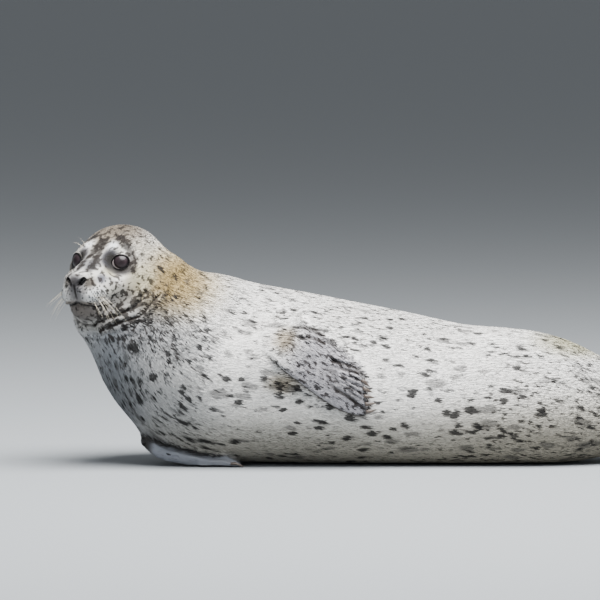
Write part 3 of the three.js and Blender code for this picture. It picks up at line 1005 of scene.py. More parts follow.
# %% Iris, white and tears
IRIS_RADIUS = 0.0130
IRIS_SHIFT = (0.0015, 0.0027)  # outward and up, which bares a pale crescent at the inner corner
IRIS_REACH = 1.3  # the rings run out to this many radii
IRIS_RINGS = (  # how many radii out, and the colour there
    (0.00, "#1a1215"),
    (0.45, "#21181b"),
    (0.70, "#2b2125"),
    (0.88, "#1d1518"),
    (0.97, "#070405"),
    (1.04, "#0a0708"),
    (1.10, "#b9adab"),
)


def eye_paint():
    """A purple-brown iris with a dark rim, and a glint that is soft because tears spread it."""
    made, tree, shader = material("wet cornea over a dark iris")
    place = node(tree, "Attribute", {}, out="Vector", attribute_name="gaze")
    shifted = node(tree, "VectorMath", (place, (*IRIS_SHIFT, 0.0)), operation="SUBTRACT")
    flat = node(tree, "VectorMath", (shifted, (1.0, 1.0, 0.0)), operation="MULTIPLY")
    distance = node(tree, "VectorMath", (flat,), out="Value", operation="LENGTH")
    share = node(tree, "Math", (distance, IRIS_RADIUS * IRIS_REACH), operation="DIVIDE")
    colour = node(tree, "ValToRGB", {"Fac": share}, out="Color")
    rings = colour.node.color_ramp.elements
    for i, (radii, shade) in enumerate(IRIS_RINGS):
        ring = rings[i] if i < 2 else rings.new(1.0)
        ring.position = radii / IRIS_REACH
        ring.color = srgb(shade)
    link(tree, colour, shader.inputs["Base Color"])
    shader.inputs["Roughness"].default_value = 0.40
    shader.inputs["IOR"].default_value = 1.376
    shader.inputs["Specular IOR Level"].default_value = 0.3
    shader.inputs["Coat Weight"].default_value = 0.22
    shader.inputs["Coat Roughness"].default_value = 0.24
    return made


wet_eye = eye_paint()
for each in eyes:
    each.data.materials.append(wet_eye)
print("iris", IRIS_RADIUS * 2000, "mm wide")

# %% [markdown]
# ## The lie of the coat
#
# A seal's hair points to the tail and lies flat, and its spots are drawn out the same way. The
# pattern could follow the world's axes, but then it would smear where the body bends. Each
# point of skin is given its place along a line from nose to tail instead, and the flippers,
# whose hair runs to the claws, have a line of their own.

# %% Places along the body
SPINE = [
    (-0.690, -0.212, 0.330), (-0.664, -0.169, 0.342), (-0.622, -0.096, 0.372), (-0.578, -0.045, 0.346),
    (-0.547, -0.022, 0.290), (-0.490, 0.000, 0.227), (-0.405, 0.014, 0.179), (-0.249, 0.018, 0.155),
    (-0.064, 0.016, 0.134), (0.158, 0.014, 0.118), (0.306, 0.020, 0.095), (0.434, 0.030, 0.061),
    (0.560, 0.046, 0.053), (0.720, 0.060, 0.045),
]
# Where each limb's hair starts and the way it points.
LIMBS = {
    "fore_flipper_left": (FLAP_ROOT, (0.86, 0.00, -0.51)),
    "fore_flipper_right": ((-0.560, -0.040, 0.035), (0.96, -0.24, -0.12)),
    "hind_flipper_left": ((0.360, -0.030, 0.080), (0.98, -0.18, -0.10)),
    "hind_flipper_right": ((0.360, 0.056, 0.060), (0.99, 0.09, -0.12)),
}
DRAWN_OUT = 2.3  # how much longer than wide a spot is


def smooth_path(corners, steps):
    """A curve through the corners, from each four in turn."""
    corners = np.array(corners)
    padded = np.vstack([2 * corners[0] - corners[1], corners, 2 * corners[-1] - corners[-2]])
    share = np.linspace(0.0, 1.0, steps, endpoint=False)[:, None]
    parts = []
    for a, b, c, d in zip(padded, padded[1:], padded[2:], padded[3:]):
        square = 2 * a - 5 * b + 4 * c - d
        cubic = -a + 3 * b - 3 * c + d
        parts.append(0.5 * (2 * b + (c - a) * share + square * share**2 + cubic * share**3))
    return np.vstack(parts)


PATH = smooth_path(SPINE, 24)
TANGENTS = np.gradient(PATH, axis=0)
TANGENTS /= np.linalg.norm(TANGENTS, axis=1)[:, None]
LENGTHS = np.concatenate([[0.0], np.cumsum(np.linalg.norm(np.diff(PATH, axis=0), axis=1))])
LIMB_APART = 2.0  # metres along the body at which the limbs' own patterns start
path_finder = finder_of(PATH)
print("nose to hind claws along the spine", round(LENGTHS[-1], 2), "m")


def lie_of(points, labels):
    """Each point's pattern coordinates, the way its hair points, and its turn round the spine."""
    nearest = np.array([path_finder.find(p)[1] for p in points])
    tangent = TANGENTS[nearest]
    level = np.cross(tangent, [0.0, 0.0, 1.0])
    level /= np.linalg.norm(level, axis=1)[:, None]
    top = np.cross(level, tangent)
    offset = points - PATH[nearest]
    along = LENGTHS[nearest] + (offset * tangent).sum(axis=1)
    aside, height = (offset * level).sum(axis=1), (offset * top).sum(axis=1)
    place = np.stack([along / DRAWN_OUT, aside, height], axis=1)
    turn = np.arctan2(height, aside)
    for number, (name, (root, way)) in enumerate(LIMBS.items()):
        on = among(labels, [name])
        way = np.array(way) / np.linalg.norm(way)
        across = np.cross(way, [0.0, 1.0, 0.0])
        across /= np.linalg.norm(across)
        limb = points[on] - np.array(root)
        along_limb = limb @ way / DRAWN_OUT + LIMB_APART + number
        place[on] = np.stack([along_limb, limb @ across, limb @ np.cross(way, across)], axis=1)
        tangent[on] = way
    return place, tangent, along, turn


# %% [markdown]
# ## The markings
#
# A harbour seal is cream white with charcoal spots, and no two are alike. The spots could be a
# painted picture, but a picture can't be turned round the body. Instead soft brushes tint the
# broad areas (a yellow stain on the nape, grey on the wet flippers, dark lids and lips, painted
# shade under the body and in folds, and a painted highlight on the far flipper) and the
# spots come from cell patterns in the body's own coordinates, so the skin and every tuft of
# hair agree about where a spot is.

# %% Broad colours and how spotted each part is
CREAM = "#f0eeea"
# Brushes: the place and the radii in metres, the colour, how much of it, and the change that it
# makes to how spotted and how flecked the coat is.
BODY_BRUSHES = [
    ((-0.485, -0.05, 0.335), (0.090, 0.14, 0.075), "#b8964f", 0.85, -0.10, 0.14),
    ((-0.520, -0.12, 0.325), (0.045, 0.06, 0.045), "#a88a4c", 0.65, 0.00, 0.25),
    ((-0.560, -0.11, 0.275), (0.090, 0.11, 0.055), "#8d8e92", 0.55, 0.55, 0.48),
    # The next two grey the front and the low part of the chest: painted shade where the body turns away
    # from the sky lamp. They also add spots.
    ((-0.600, -0.05, 0.150), (0.075, 0.20, 0.160), "#8a939e", 0.70, 0.35, 0.12),
    ((-0.510, -0.10, 0.120), (0.120, 0.12, 0.130), "#a3a6a8", 0.50, 0.35, 0.10),
    ((-0.490, -0.12, 0.235), (0.085, 0.10, 0.055), "#a6a8ab", 0.50, 0.45, 0.26),
    # The next three darken the low belly and rump to a warm grey: partly the seal's wet, soiled hair,
    # partly painted shade on the underside.
    ((-0.300, -0.10, 0.000), (0.320, 0.14, 0.105), "#b0ab9b", 0.72, 0.10, 0.04),
    ((0.200, -0.05, 0.000), (0.460, 0.22, 0.120), "#b0a893", 0.76, 0.15, 0.06),
    ((0.300, -0.05, 0.060), (0.300, 0.20, 0.100), "#beb6a3", 0.45, 0.10, 0.06),
    ((0.260, 0.00, 0.225), (0.090, 0.10, 0.030), "#b9b27c", 0.60, 0.00, 0.00),
    ((-0.278, -0.15, 0.240), (0.026, 0.05, 0.026), "#a08860", 0.60, 0.10, 0.45),
    ((-0.268, -0.15, 0.295), (0.040, 0.05, 0.030), "#8e8f94", 0.45, 0.25, 0.30),
    ((-0.285, -0.15, 0.160), (0.035, 0.05, 0.020), "#a08c68", 0.50, 0.25, 0.35),
    ((-0.450, 0.12, 0.300), (0.300, 0.12, 0.150), "#b5afa5", 0.50, 0.45, 0.15),
    ((0.050, 0.14, 0.200), (0.450, 0.12, 0.130), "#b3aea4", 0.50, 0.45, 0.10),
    ((-0.120, -0.06, 0.300), (0.360, 0.16, 0.085), "#f0eeea", 0.20, 0.16, 0.15),
    ((0.240, -0.08, 0.160), (0.240, 0.16, 0.090), "#f0eeea", 0.20, 0.12, 0.10),
]
LIMB_TINTS = {
    "fore_flipper_left": ("#b6b4bb", 0.85, -0.10, 0.34),
    "fore_flipper_right": ("#9aa1ae", 0.95, -0.60, -0.10),
    "hind_flipper_left": ("#8b8783", 0.75, 0.10, 0.26),
    "hind_flipper_right": ("#85817d", 0.75, 0.10, 0.26),
    "tail": ("#8b877f", 0.50, 0.10, 0.30),
}
# The same for the head, in its own frame and in mm, and made on both sides.
HEAD_BRUSHES = [
    ((-20.0, 0.0, -20.0), (130.0, 90.0, 90.0), "#d0ccc4", 0.80, -0.60, 0.62),
    ((-66.0, 0.0, 56.0), (85.0, 100.0, 44.0), "#94846f", 0.85, -0.20, 0.24),
    ((-17.0, 27.0, 30.0), (19.0, 15.0, 12.0), "#eceef0", 0.85, -0.60, -0.38),
    ((18.0, 37.0, -14.0), (22.0, 16.0, 13.0), "#dcd4b4", 0.85, -0.40, -0.28),
    ((-52.0, 70.0, 20.0), (30.0, 28.0, 28.0), "#d0c8b4", 0.60, -0.10, -0.08),
    ((-22.0, 78.0, -32.0), (42.0, 30.0, 28.0), "#e4dcbc", 0.78, -0.30, -0.22),
    ((-36.0, 36.0, 34.0), (13.0, 15.0, 11.0), "#6a625c", 0.45, 0.00, 0.20),
    ((3.0, 30.0, 8.0), (18.0, 15.0, 23.0), "#1f233a", 1.00, -0.60, -0.60),
    ((-4.0, 50.0, -15.0), (18.0, 20.0, 8.0), "#34333c", 0.85, -0.60, -0.50),
    ((36.0, 10.0, 4.0), (28.0, 13.0, 13.0), "#73757f", 0.75, -0.60, 0.14),
    ((88.0, 0.0, -20.0), (24.0, 20.0, 19.0), "#5a5961", 0.95, -0.60, -0.55),
    ((70.0, 26.0, -22.0), (13.0, 13.0, 11.0), "#7a7064", 0.75, -0.60, -0.10),
    ((46.0, 36.0, -20.0), (12.0, 10.0, 10.0), "#787a8c", 0.75, -0.60, 0.14),
    ((84.0, 0.0, -44.0), (20.0, 19.0, 22.0), "#8a898c", 0.75, -0.60, -0.40),
    ((72.0, 36.0, -44.0), (26.0, 20.0, 16.0), "#c8cccd", 0.82, -0.60, -0.34),
    ((34.0, 56.0, -45.0), (22.0, 18.0, 20.0), "#cdc9bb", 0.65, -0.40, -0.10),
    ((78.0, 0.0, -62.0), (30.0, 44.0, 8.0), "#5c4e42", 0.65, -0.60, -0.30),
    ((70.0, 0.0, -78.0), (36.0, 52.0, 20.0), "#8f8680", 0.85, -0.50, 0.04),
    ((50.0, 0.0, -98.0), (40.0, 60.0, 22.0), "#97938d", 0.65, -0.30, 0.08),
    ((25.0, 45.0, -84.0), (38.0, 30.0, 16.0), "#a39e96", 0.60, 0.00, 0.04),
    ((10.0, 56.0, -62.0), (34.0, 24.0, 15.0), "#a19c92", 0.50, 0.00, 0.08),
]
# Dark strokes on the head: the line they follow, half their width in mm, how dark and how flecked.
STREAKS = [
    (((-30.0, 4.0, 35.0), (-6.0, 6.0, 23.0), (15.0, 8.0, 14.6)), 7.5, 0.66, 0.34),
    (((15.0, 8.0, 14.6), (29.0, 14.0, 7.0), (50.0, 13.0, -3.0)), 8.0, 0.25, 0.26),
    (((-44.0, 28.0, 38.0), (-28.0, 54.7, 22.0), (-25.0, 66.9, 6.9), (-9.8, 70.9, -12.9)), 9.5, 0.48, 0.46),
    (((-9.8, 70.9, -12.9), (12.0, 60.0, -18.0)), 4.5, 0.40, 0.30),
    (((38.0, 46.0, -28.0), (10.0, 66.0, -44.0), (0.0, 74.0, -56.0)), 7.0, 0.05, 0.15),
]
BARE = "#0c090a"  # the black skin of lids, lips and nostrils


# %% Mixing tints
GAMMA = 2.2  # tints are mixed as the eye sees them, and turned to light at the end
DEEPER = 0.85  # soft contrast in the final picture needs dark tints deeper than they look
LUMINANCE = (0.2126, 0.7152, 0.0722)


def seen(colour):
    """A hex colour as shares of red, green and blue that look evenly spaced."""
    return np.array(srgb(colour)[:3]) ** (1.0 / GAMMA)


def albedo(colours):
    """Linear colours for the shader, the dark ones deepened."""
    light = colours**GAMMA
    bright = light @ np.array(LUMINANCE)
    return light * (bright / (seen(CREAM)[1] ** GAMMA))[:, None] ** DEEPER


def within(places, middle, radii):
    """1 in the middle of an ellipsoid, falling smoothly to 0 a little past its surface."""
    reach = np.linalg.norm((places - np.array(middle)) / np.array(radii), axis=1)
    return fade(reach, 0.25, 1.35)


def within_both(local, middle, radii):
    """The same for an ellipsoid on each side of the head."""
    return np.maximum(*(within(local, mirrored([middle], side)[0], radii) for side in SIDES))


def brush(coat, amount, colour, share, spots=0.0, flecks=0.0):
    """Lays a tint on the coat, and makes it more or less spotted and flecked there."""
    coat["colour"] = coat["colour"] + (share * amount)[:, None] * (seen(colour) - coat["colour"])
    coat["spotted"] += spots * amount
    coat["flecked"] += flecks * amount


# %% The tints of the body, the flippers and the head
SPOTTED = 0.62  # how spotted the body is where no brush changes it
PAD = ((66.0, 38.0, -42.0), (46.0, 36.0, 26.0))  # a whisker pad's middle and radii


def tint_body(coat, points, soft):
    """The brushes of the body, then those of the flippers and the tail."""
    for middle, radii, *stroke in BODY_BRUSHES:
        brush(coat, within(points, middle, radii), *stroke)
    for amount, stroke in zip(soft.T, LIMB_TINTS.values()):
        brush(coat, amount, *stroke)


def tint_near_flipper(coat, points, soft):
    """A painted shadow under its leading edge, and painted shade in the gaps between the digits and in the
    folds.
    """
    flat = to_flap(points)
    beside = np.abs(flat[:, 2] - 10) < 50
    # Painted shadow along the flipper's lower, leading edge where it stands off the flank.
    edge = bump(into_flap(flat), -1.5, 4.0) * (flat[:, 1] < 20) * beside
    brush(coat, edge * ramp(flat[:, 0], -15.0, 10.0), "#565049", 0.7)
    # Painted shade in the gaps between the digits, a little flecked.
    digits = soft[:, 0] * ramp(flat[:, 0], 108.0, 150.0) * beside
    reach = digit_reach(flat)
    gap = ramp(reach, 2.8, 5.6) * fade(reach, 8.0, 11.0)
    brush(coat, digits * gap, "#3b3537", 0.62, flecks=0.15)
    # Painted shade, flecked, in the creases where the flipper is drawn back over the shoulder.
    folded = fade(crease_reach(flat), 1.0, 4.4) * beside * (points[:, 1] < 0.0)
    brush(coat, folded, "#4a4848", 0.45, flecks=0.45)


def tint_far_flipper(coat, points, far):
    """A painted highlight along its upper side, and painted shade in the crease where it meets the chest.
    """
    top = np.interp(points[:, 0], (-0.52, -0.37), (0.036, 0.012))
    # Painted highlight: the upper part of the far flipper is paler, as wet skin that catches the sky lamp.
    brush(coat, far * ramp(points[:, 2] / top, 0.45, 0.85), "#c8cdd6", 0.75)
    # Painted shade in the crease between the flipper and the chest, fading towards its tip.
    seam = np.clip(4.0 * far * (1.0 - far), 0.0, 1.0)
    seam *= 1.0 - 0.8 * ramp(points[:, 0], -0.410, -0.385)
    brush(coat, seam**2, "#262528", 0.70)


# %% The tints of the face, and all of them together
def tint_face(coat, local, side):
    """One side's streaks, the painted highlight and shade of its jaw folds, its eye shade and bare skin.
    """
    for line, half_width, share, flecks in STREAKS:
        away = to_line(local, mirrored(line, side))
        amount = fade(away, 0.3 * half_width, 1.3 * half_width)
        brush(coat, amount, "#2e2a29", share, flecks=flecks)
    # Along each jaw fold: a painted highlight on the raised skin beside it, and painted shade in its
    # groove with more flecks.
    for fold, share in zip(FOLD_LINES[side], (0.5, 0.75)):
        away = to_line(local, fold)
        brush(coat, bump(away, 6.5, 4.5), "#d0cec6", 0.35)
        brush(coat, fade(away, 0.8, 4.2), "#2b2a2b", share)
        coat["flecked"] += share * 0.34 * fade(away, 2.0, 8.0)
    reach, across, height, front = lid_reach(local, side)
    under = ramp(-height, -4.0, 7.0)
    ring = front * fade(reach, 1.06, 1.20 + 0.12 * under)
    inner = ramp(-across, -2.0, 11.0)
    shade = front * fade(reach, 1.10, 1.36 + 0.40 * under + 0.45 * inner)
    brush(coat, shade * (0.75 + 0.15 * under), "#2b2a33", 1.0, flecks=-0.6)
    hole = fade(to_line(local, NOSTRILS[side][2:-1]), 3.6, 5.2)
    lips = fade(to_line(local, LIP_LINES[side]), 0.8, 3.2) * (local[:, 1] * side > -0.5)
    lips *= 0.35 + 0.65 * ramp(local[:, 0], 30.0, 62.0)
    ear = fade(away_from(local, EAR, side), 2.0, 4.5)
    for amount in (ring, hole, 0.85 * lips, 0.8 * ear):
        coat["bare"] = np.maximum(coat["bare"], amount)


def tints(points, soft):
    """Each point's colour; how spotted, flecked and bare it is; and how wet and how dotted."""
    count = len(points)
    coat = {"colour": np.tile(seen(CREAM), (count, 1)), "spotted": np.full(count, SPOTTED)}
    coat.update(flecked=np.zeros(count), bare=np.zeros(count))
    tint_body(coat, points, soft)
    tint_near_flipper(coat, points, soft)
    tint_far_flipper(coat, points, soft[:, 1])
    local = to_head(points)
    for middle, radii, *stroke in HEAD_BRUSHES:
        brush(coat, within_both(local, middle, radii), *stroke)
    for side in SIDES:
        tint_face(coat, local, side)
    fading = 0.5 * ramp(local[:, 2], -54.0, -42.0)
    philtrum = fading * fade(to_line(local, PHILTRUM_LINE), 0.6, 2.8)
    bare = np.maximum(coat["bare"], philtrum)
    brush(coat, bare, BARE, 1.0)
    marks = np.clip(np.stack([coat["spotted"], coat["flecked"], bare], axis=1), 0.0, 1.0)
    finish = [np.maximum(bare, soft[:, 1]), within_both(local, *PAD), np.zeros(count)]
    return albedo(coat["colour"]), marks, np.stack(finish, axis=1)


# %% The larger blotches
# Those of the near side: across and up in metres, and half their width in mm.
BLOTCHES = [
    (-0.541, 0.308, 5), (-0.564, 0.292, 5), (-0.573, 0.260, 5), (-0.556, 0.266, 5),
    (-0.534, 0.271, 5.5), (-0.552, 0.223, 9), (-0.564, 0.225, 6), (-0.526, 0.238, 5),
    (-0.491, 0.216, 6.5), (-0.490, 0.201, 6), (-0.421, 0.257, 6), (-0.545, 0.164, 6),
    (-0.515, 0.173, 6.5), (-0.530, 0.165, 5), (-0.464, 0.142, 5.5), (-0.453, 0.129, 6),
    (-0.460, 0.082, 6), (-0.441, 0.075, 5.5), (-0.451, 0.051, 5.5), (-0.502, 0.062, 6),
    (-0.539, 0.089, 5), (-0.560, 0.115, 5), (-0.543, 0.128, 6.5), (-0.384, 0.169, 6),
    (-0.356, 0.166, 5.5), (-0.362, 0.125, 6.5), (-0.369, 0.049, 7.5), (-0.316, 0.168, 6.5),
    (-0.488, 0.271, 5.5), (-0.292, 0.160, 6), (-0.286, 0.142, 5.5), (-0.253, 0.125, 5.5),
    (-0.280, 0.110, 6), (-0.208, 0.084, 5.5), (-0.195, 0.116, 6.5), (-0.160, 0.097, 5.5),
    (-0.255, 0.151, 7), (-0.264, 0.064, 6.5), (-0.118, 0.064, 6.5), (-0.314, 0.169, 6),
    (-0.264, 0.288, 5.5), (-0.279, 0.284, 5.5), (-0.044, 0.138, 7.5), (0.004, 0.127, 5.5),
    (0.019, 0.101, 6.5), (0.032, 0.099, 7), (0.066, 0.108, 8.5), (0.040, 0.079, 5.5),
    (0.077, 0.077, 7.5), (0.067, 0.066, 5.5), (-0.057, 0.079, 6.5), (0.030, 0.066, 5.5),
    (0.123, 0.143, 6.5), (0.123, 0.125, 6.5), (0.147, 0.184, 6), (0.193, 0.103, 8.5),
    (0.204, 0.229, 6), (0.119, 0.058, 5.5), (0.140, 0.062, 6), (0.097, 0.041, 6.5),
    (0.289, 0.038, 5.5), (0.263, 0.030, 5.5), (-0.016, 0.218, 5.5),
]
BLOTCH_ROUND = 1.5  # blotches are drawn out less than spots


def blotch_places():
    """Each blotch's place on the skin in the pattern's coordinates, and half its width."""
    tree = BVHTree.FromObject(skin, bpy.context.evaluated_depsgraph_get())
    towards = Vector((0.0, 1.0, 0.0))
    hits = [tree.ray_cast(Vector((x, -2.0, z)), towards)[0] for x, z, _ in BLOTCHES]
    found = np.array([hit for hit in hits if hit])
    halves = [half / 1000.0 for (_, _, half), hit in zip(BLOTCHES, hits) if hit]
    return lie_of(found, regions(found))[0], halves


def blotches(place):
    """1 in the middle of the nearest blotch, half at its edge and 0 well outside it."""
    amount = np.zeros(len(place))
    for middle, half in zip(*BLOTCH_PLACES):
        reach = np.linalg.norm((place - middle) * (BLOTCH_ROUND, 1.0, 1.0), axis=1)
        amount = np.maximum(amount, 1.0 - 0.5 * reach / half)
    return amount


BLOTCH_PLACES = blotch_places()
print("blotches", len(BLOTCH_PLACES[1]))


# %% The skin's marks kept as attributes
FLECKS_DRAWN = 1.6  # how much finer flecks are across the hair, off the head


def flecks_at(headed, places, pattern):
    """Where the flecks' pattern is read: in place on the head, and along the hair elsewhere."""
    return np.where(headed[:, None], places, FLECKS_DRAWN * pattern)


points = coordinates(skin.data)
label = regions(points)
place, flow, along, turn = lie_of(points, label)
pairs = edges(skin.data)
limb_soft = np.stack([spread(among(label, [name]), pairs, 8) for name in LIMB_TINTS], axis=1)
limb_soft[:, 0] *= ramp(to_flap(points)[:, 0], -5.0, 75.0)
limb_soft[:, 1] *= ramp(points[:, 0], -0.56, -0.51)
limb_soft[:, 2:4] *= ramp(points[:, 0], 0.40, 0.52)[:, None]
colours, marks, finish = tints(unpressed, limb_soft)
note(skin.data, "lie", place)
note(skin.data, "rooted", flecks_at(on_head(points), points, place))
note(skin.data, "tint", np.column_stack([colours, blotches(place)]))
note(skin.data, "marks", marks)
note(skin.data, "finish", finish)
print("how spotted", marks[:, 0].min().round(2), "to", marks[:, 0].max().round(2))

# %% [markdown]
# ## The coat's colour
#
# Each hair is one colour, and a spot is a patch of dark hairs with a ragged edge. The spots could
# be clean discs, but then the animal would look printed. So they are laid in the order in which
# the eye finds them: the broad tint with faint clouds, pale ghost spots, fine flecks, the dark
# spots with torn edges, the dots where the whiskers root, and the bare black skin on top.

# %% The sizes of spots and flecks
# Each has its cells to a metre, the least and most radius in cells, the share of the cells that
# hold one, and a shift that sets its pattern apart. Spots are about 8 mm to 30 mm long.
SPOT_CELLS = (
    (38.0, 0.08, 0.24, 0.40, 0.0),
    (82.0, 0.14, 0.38, 0.75, 3.7),
    (56.0, 0.10, 0.30, 0.75, 8.1),
)
PAD_CELLS = (165.0, 0.24, 0.31, 2.0, 0.0)  # dark dots where the whiskers root, in every cell
GHOST_CELLS = (46.0, 0.16, 0.40, 0.70, 5.3)
CELLS_UNEVEN = 0.9  # how far the cells are from an even grid
EDGE_SHARP, EDGE_OUT = 9.0, 0.45  # a spot's edge: how sharp, and where it starts
FLECK_SCALE = 115.0  # flecks of about 4 mm on the head and flippers
HAIR_SCALE = 620.0  # hair drawn about 1.6 mm wide, coarser than real so that it shows
HAIR_LONG = 0.22  # the grain across the hair is this share of the grain along it
WANDER = (0.010, 0.012, 0.012)  # how far an edge wanders, in metres of the pattern
WANDER_SCALE = 150.0  # and it wanders to and fro about every 7 mm
CLOUD_SCALE = 14.0  # clouds about 70 mm wide
CROWD_SCALE = 16.0  # spots come in crowds about 60 mm wide
BROWN_SCALE = 55.0  # flecks turn from black to brown over about 18 mm
CHARCOAL_SCALE = 320.0  # a spot is mottled about every 3 mm


def cells(tree, place, amount, setting):
    """Spots in a share of the cells of a pattern, 1 inside a spot and 0 outside it."""
    scale, least, most, share, shift = setting
    moved = node(tree, "VectorMath", (place, (shift, shift, shift)), operation="ADD")
    cell = {"Vector": moved, "Scale": scale, "Randomness": CELLS_UNEVEN}
    distance = node(tree, "TexVoronoi", cell, out="Distance", feature="F1")
    drawn = node(tree, "SeparateColor", (distance.node.outputs["Color"],), out="Red")
    sized = {"Value": drawn.node.outputs["Green"], "To Min": least, "To Max": most}
    size = node(tree, "MapRange", sized, out="Result")
    wanted = node(tree, "Math", (amount, share), operation="MULTIPLY")
    chosen = node(tree, "Math", (drawn, wanted), operation="LESS_THAN")
    inside = node(tree, "Math", (size, distance), operation="SUBTRACT")
    edged = (inside, EDGE_SHARP, EDGE_OUT)
    soft = node(tree, "Math", edged, operation="MULTIPLY_ADD", use_clamp=True)
    return node(tree, "Math", (soft, chosen), operation="MULTIPLY")


# %% Clouds, ghost spots and flecks
# Each of these gives how much of a layer there is, and the layer's colour.
def clouds(tree, place):
    """Faint grey clouds."""
    cloud = node(tree, "TexNoise", {"Vector": place, "Scale": CLOUD_SCALE, "Detail": 3.0}, out="Fac")
    cloud = node(tree, "Math", (cloud, 1.6, -0.45), operation="MULTIPLY_ADD", use_clamp=True)
    return node(tree, "Math", (cloud, 0.26), operation="MULTIPLY"), "#8d867d"


def ghosts(tree, bent, spotted):
    """Pale spots, as of dark hair that shows through lighter hair."""
    more = node(tree, "Math", (spotted, 0.25), operation="ADD")
    ghost = cells(tree, bent, more, GHOST_CELLS)
    return node(tree, "Math", (ghost, 0.62), operation="MULTIPLY"), "#3d3b3a"


def flecks(tree, rooted, flecked):
    """Fine dark flecks, more of them where the coat is marked as flecked."""
    speck = {"Vector": rooted, "Scale": FLECK_SCALE, "Detail": 3.0}
    speck = node(tree, "TexNoise", speck, out="Fac")
    wanted = node(tree, "Math", (flecked, 0.17, -0.60), operation="MULTIPLY_ADD")
    fleck = node(tree, "Math", (speck, wanted), operation="ADD")
    fleck = node(tree, "Math", (fleck, 24.0), operation="MULTIPLY", use_clamp=True)
    some = node(tree, "Math", (flecked, 12.0), operation="MULTIPLY", use_clamp=True)
    fleck = node(tree, "Math", (fleck, some), operation="MULTIPLY")
    brown = {"Vector": rooted, "Scale": BROWN_SCALE, "Detail": 1.0}
    brown = node(tree, "TexNoise", brown, out="Fac")
    dark = node(tree, "Mix", {0: brown, 6: "#030303", 7: "#2a221d"}, out=2, data_type="RGBA")
    return node(tree, "Math", (fleck, 0.88), operation="MULTIPLY"), dark


# %% Dark spots
def spots(tree, place, bent, spotted, blotched):
    """Near-black spots: the blotches with torn edges, and smaller ones that come in crowds."""
    crowd = node(tree, "TexNoise", {"Vector": place, "Scale": CROWD_SCALE, "Detail": 1.0}, out="Fac")
    crowd = node(tree, "Math", (crowd, 2.4, -0.2), operation="MULTIPLY_ADD")
    amount = node(tree, "Math", (spotted, crowd), operation="MULTIPLY")
    torn = node(tree, "TexNoise", {"Vector": place, "Scale": FLECK_SCALE, "Detail": 2.0}, out="Fac")
    torn = node(tree, "Math", (torn, 1.0), operation="SUBTRACT")
    spot = node(tree, "Math", (blotched, torn), operation="ADD")
    spot = node(tree, "Math", (spot, 7.0), operation="MULTIPLY", use_clamp=True)
    for setting in SPOT_CELLS:
        smaller = cells(tree, bent, amount, setting)
        spot = node(tree, "Math", (spot, smaller), operation="MAXIMUM")
    mottled = {"Vector": place, "Scale": CHARCOAL_SCALE, "Detail": 1.0}
    mottled = node(tree, "TexNoise", mottled, out="Fac")
    dark = node(tree, "Mix", {0: mottled, 6: "#040405", 7: "#1a1716"}, out=2, data_type="RGBA")
    return node(tree, "Math", (spot, 0.92), operation="MULTIPLY"), dark


# %% The coat on the skin, and on the tufts
def coat_paint(name, on_skin):
    """The seal's coat, with the grain of hair on the skin, or a shade of its own on each tuft."""
    made, tree, shader = material(name)
    place = node(tree, "Attribute", {}, out="Vector", attribute_name="lie")
    rooted = node(tree, "Attribute", {}, out="Vector", attribute_name="rooted")
    tint = node(tree, "Attribute", {}, out="Color", attribute_name="tint")
    marks = node(tree, "Attribute", {}, out="Vector", attribute_name="marks")
    spotted, flecked, bare = node(tree, "SeparateXYZ", (marks,)).node.outputs
    finish = node(tree, "Attribute", {}, out="Vector", attribute_name="finish")
    wet, dotted, _ = node(tree, "SeparateXYZ", (finish,)).node.outputs
    wander = {"Vector": place, "Scale": WANDER_SCALE, "Detail": 2.0}
    wander = node(tree, "TexNoise", wander, out="Color")
    wander = node(tree, "VectorMath", (wander, (0.5, 0.5, 0.5)), operation="SUBTRACT")
    wander = node(tree, "VectorMath", (wander, WANDER), operation="MULTIPLY")
    bent = node(tree, "VectorMath", (place, wander), operation="ADD")
    dots = node(tree, "Math", (cells(tree, rooted, dotted, PAD_CELLS), 0.9), operation="MULTIPLY")
    layers = (
        clouds(tree, place),
        ghosts(tree, bent, spotted),
        flecks(tree, rooted, flecked),
        spots(tree, place, bent, spotted, tint.node.outputs["Alpha"]),
        (dots, "#0a0a0a"),
        (bare, BARE),
    )
    colour = tint
    for share, over in layers:
        colour = node(tree, "Mix", {0: share, 6: colour, 7: over}, out=2, data_type="RGBA")
    if on_skin:
        fine = node(tree, "VectorMath", (bent, (HAIR_LONG, 1.0, 1.0)), operation="MULTIPLY")
        strand = {"Vector": fine, "Scale": HAIR_SCALE, "Detail": 3.0}
        strand = node(tree, "TexNoise", strand, out="Fac")
        raised = {"Height": strand, "Strength": 0.45, "Distance": 0.0012}
        link(tree, node(tree, "Bump", raised, out="Normal"), shader.inputs["Normal"])
    else:
        shade = node(tree, "Attribute", {}, out="Fac", attribute_name="shade")
        light = {"Value": shade, "To Min": 0.70, "To Max": 1.22}
        light = node(tree, "MapRange", light, out="Result")
        colour = node(tree, "VectorMath", {0: colour, "Scale": light}, operation="SCALE")
    link(tree, colour, shader.inputs["Base Color"])
    # Wet and bare skin is smoother than dry hair, so it catches a soft shine.
    rough = node(tree, "Math", (wet, -0.34, 0.62), operation="MULTIPLY_ADD")
    link(tree, rough, shader.inputs["Roughness"])
    shader.inputs["Specular IOR Level"].default_value = 0.12
    shader.inputs["Sheen Weight"].default_value = 0.04
    shader.inputs["Sheen Roughness"].default_value = 0.5
    return made


# Skin under dense dry hair: it scatters light, and the combed grain breaks up what shine is left.
skin.data.materials.clear()
skin.data.materials.append(coat_paint("seal skin under short hair", True))
print("coat painted with", len(skin.data.materials[0].node_tree.nodes), "nodes")

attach(skin, "root")
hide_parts(*FLESH, *FLIPPERS)

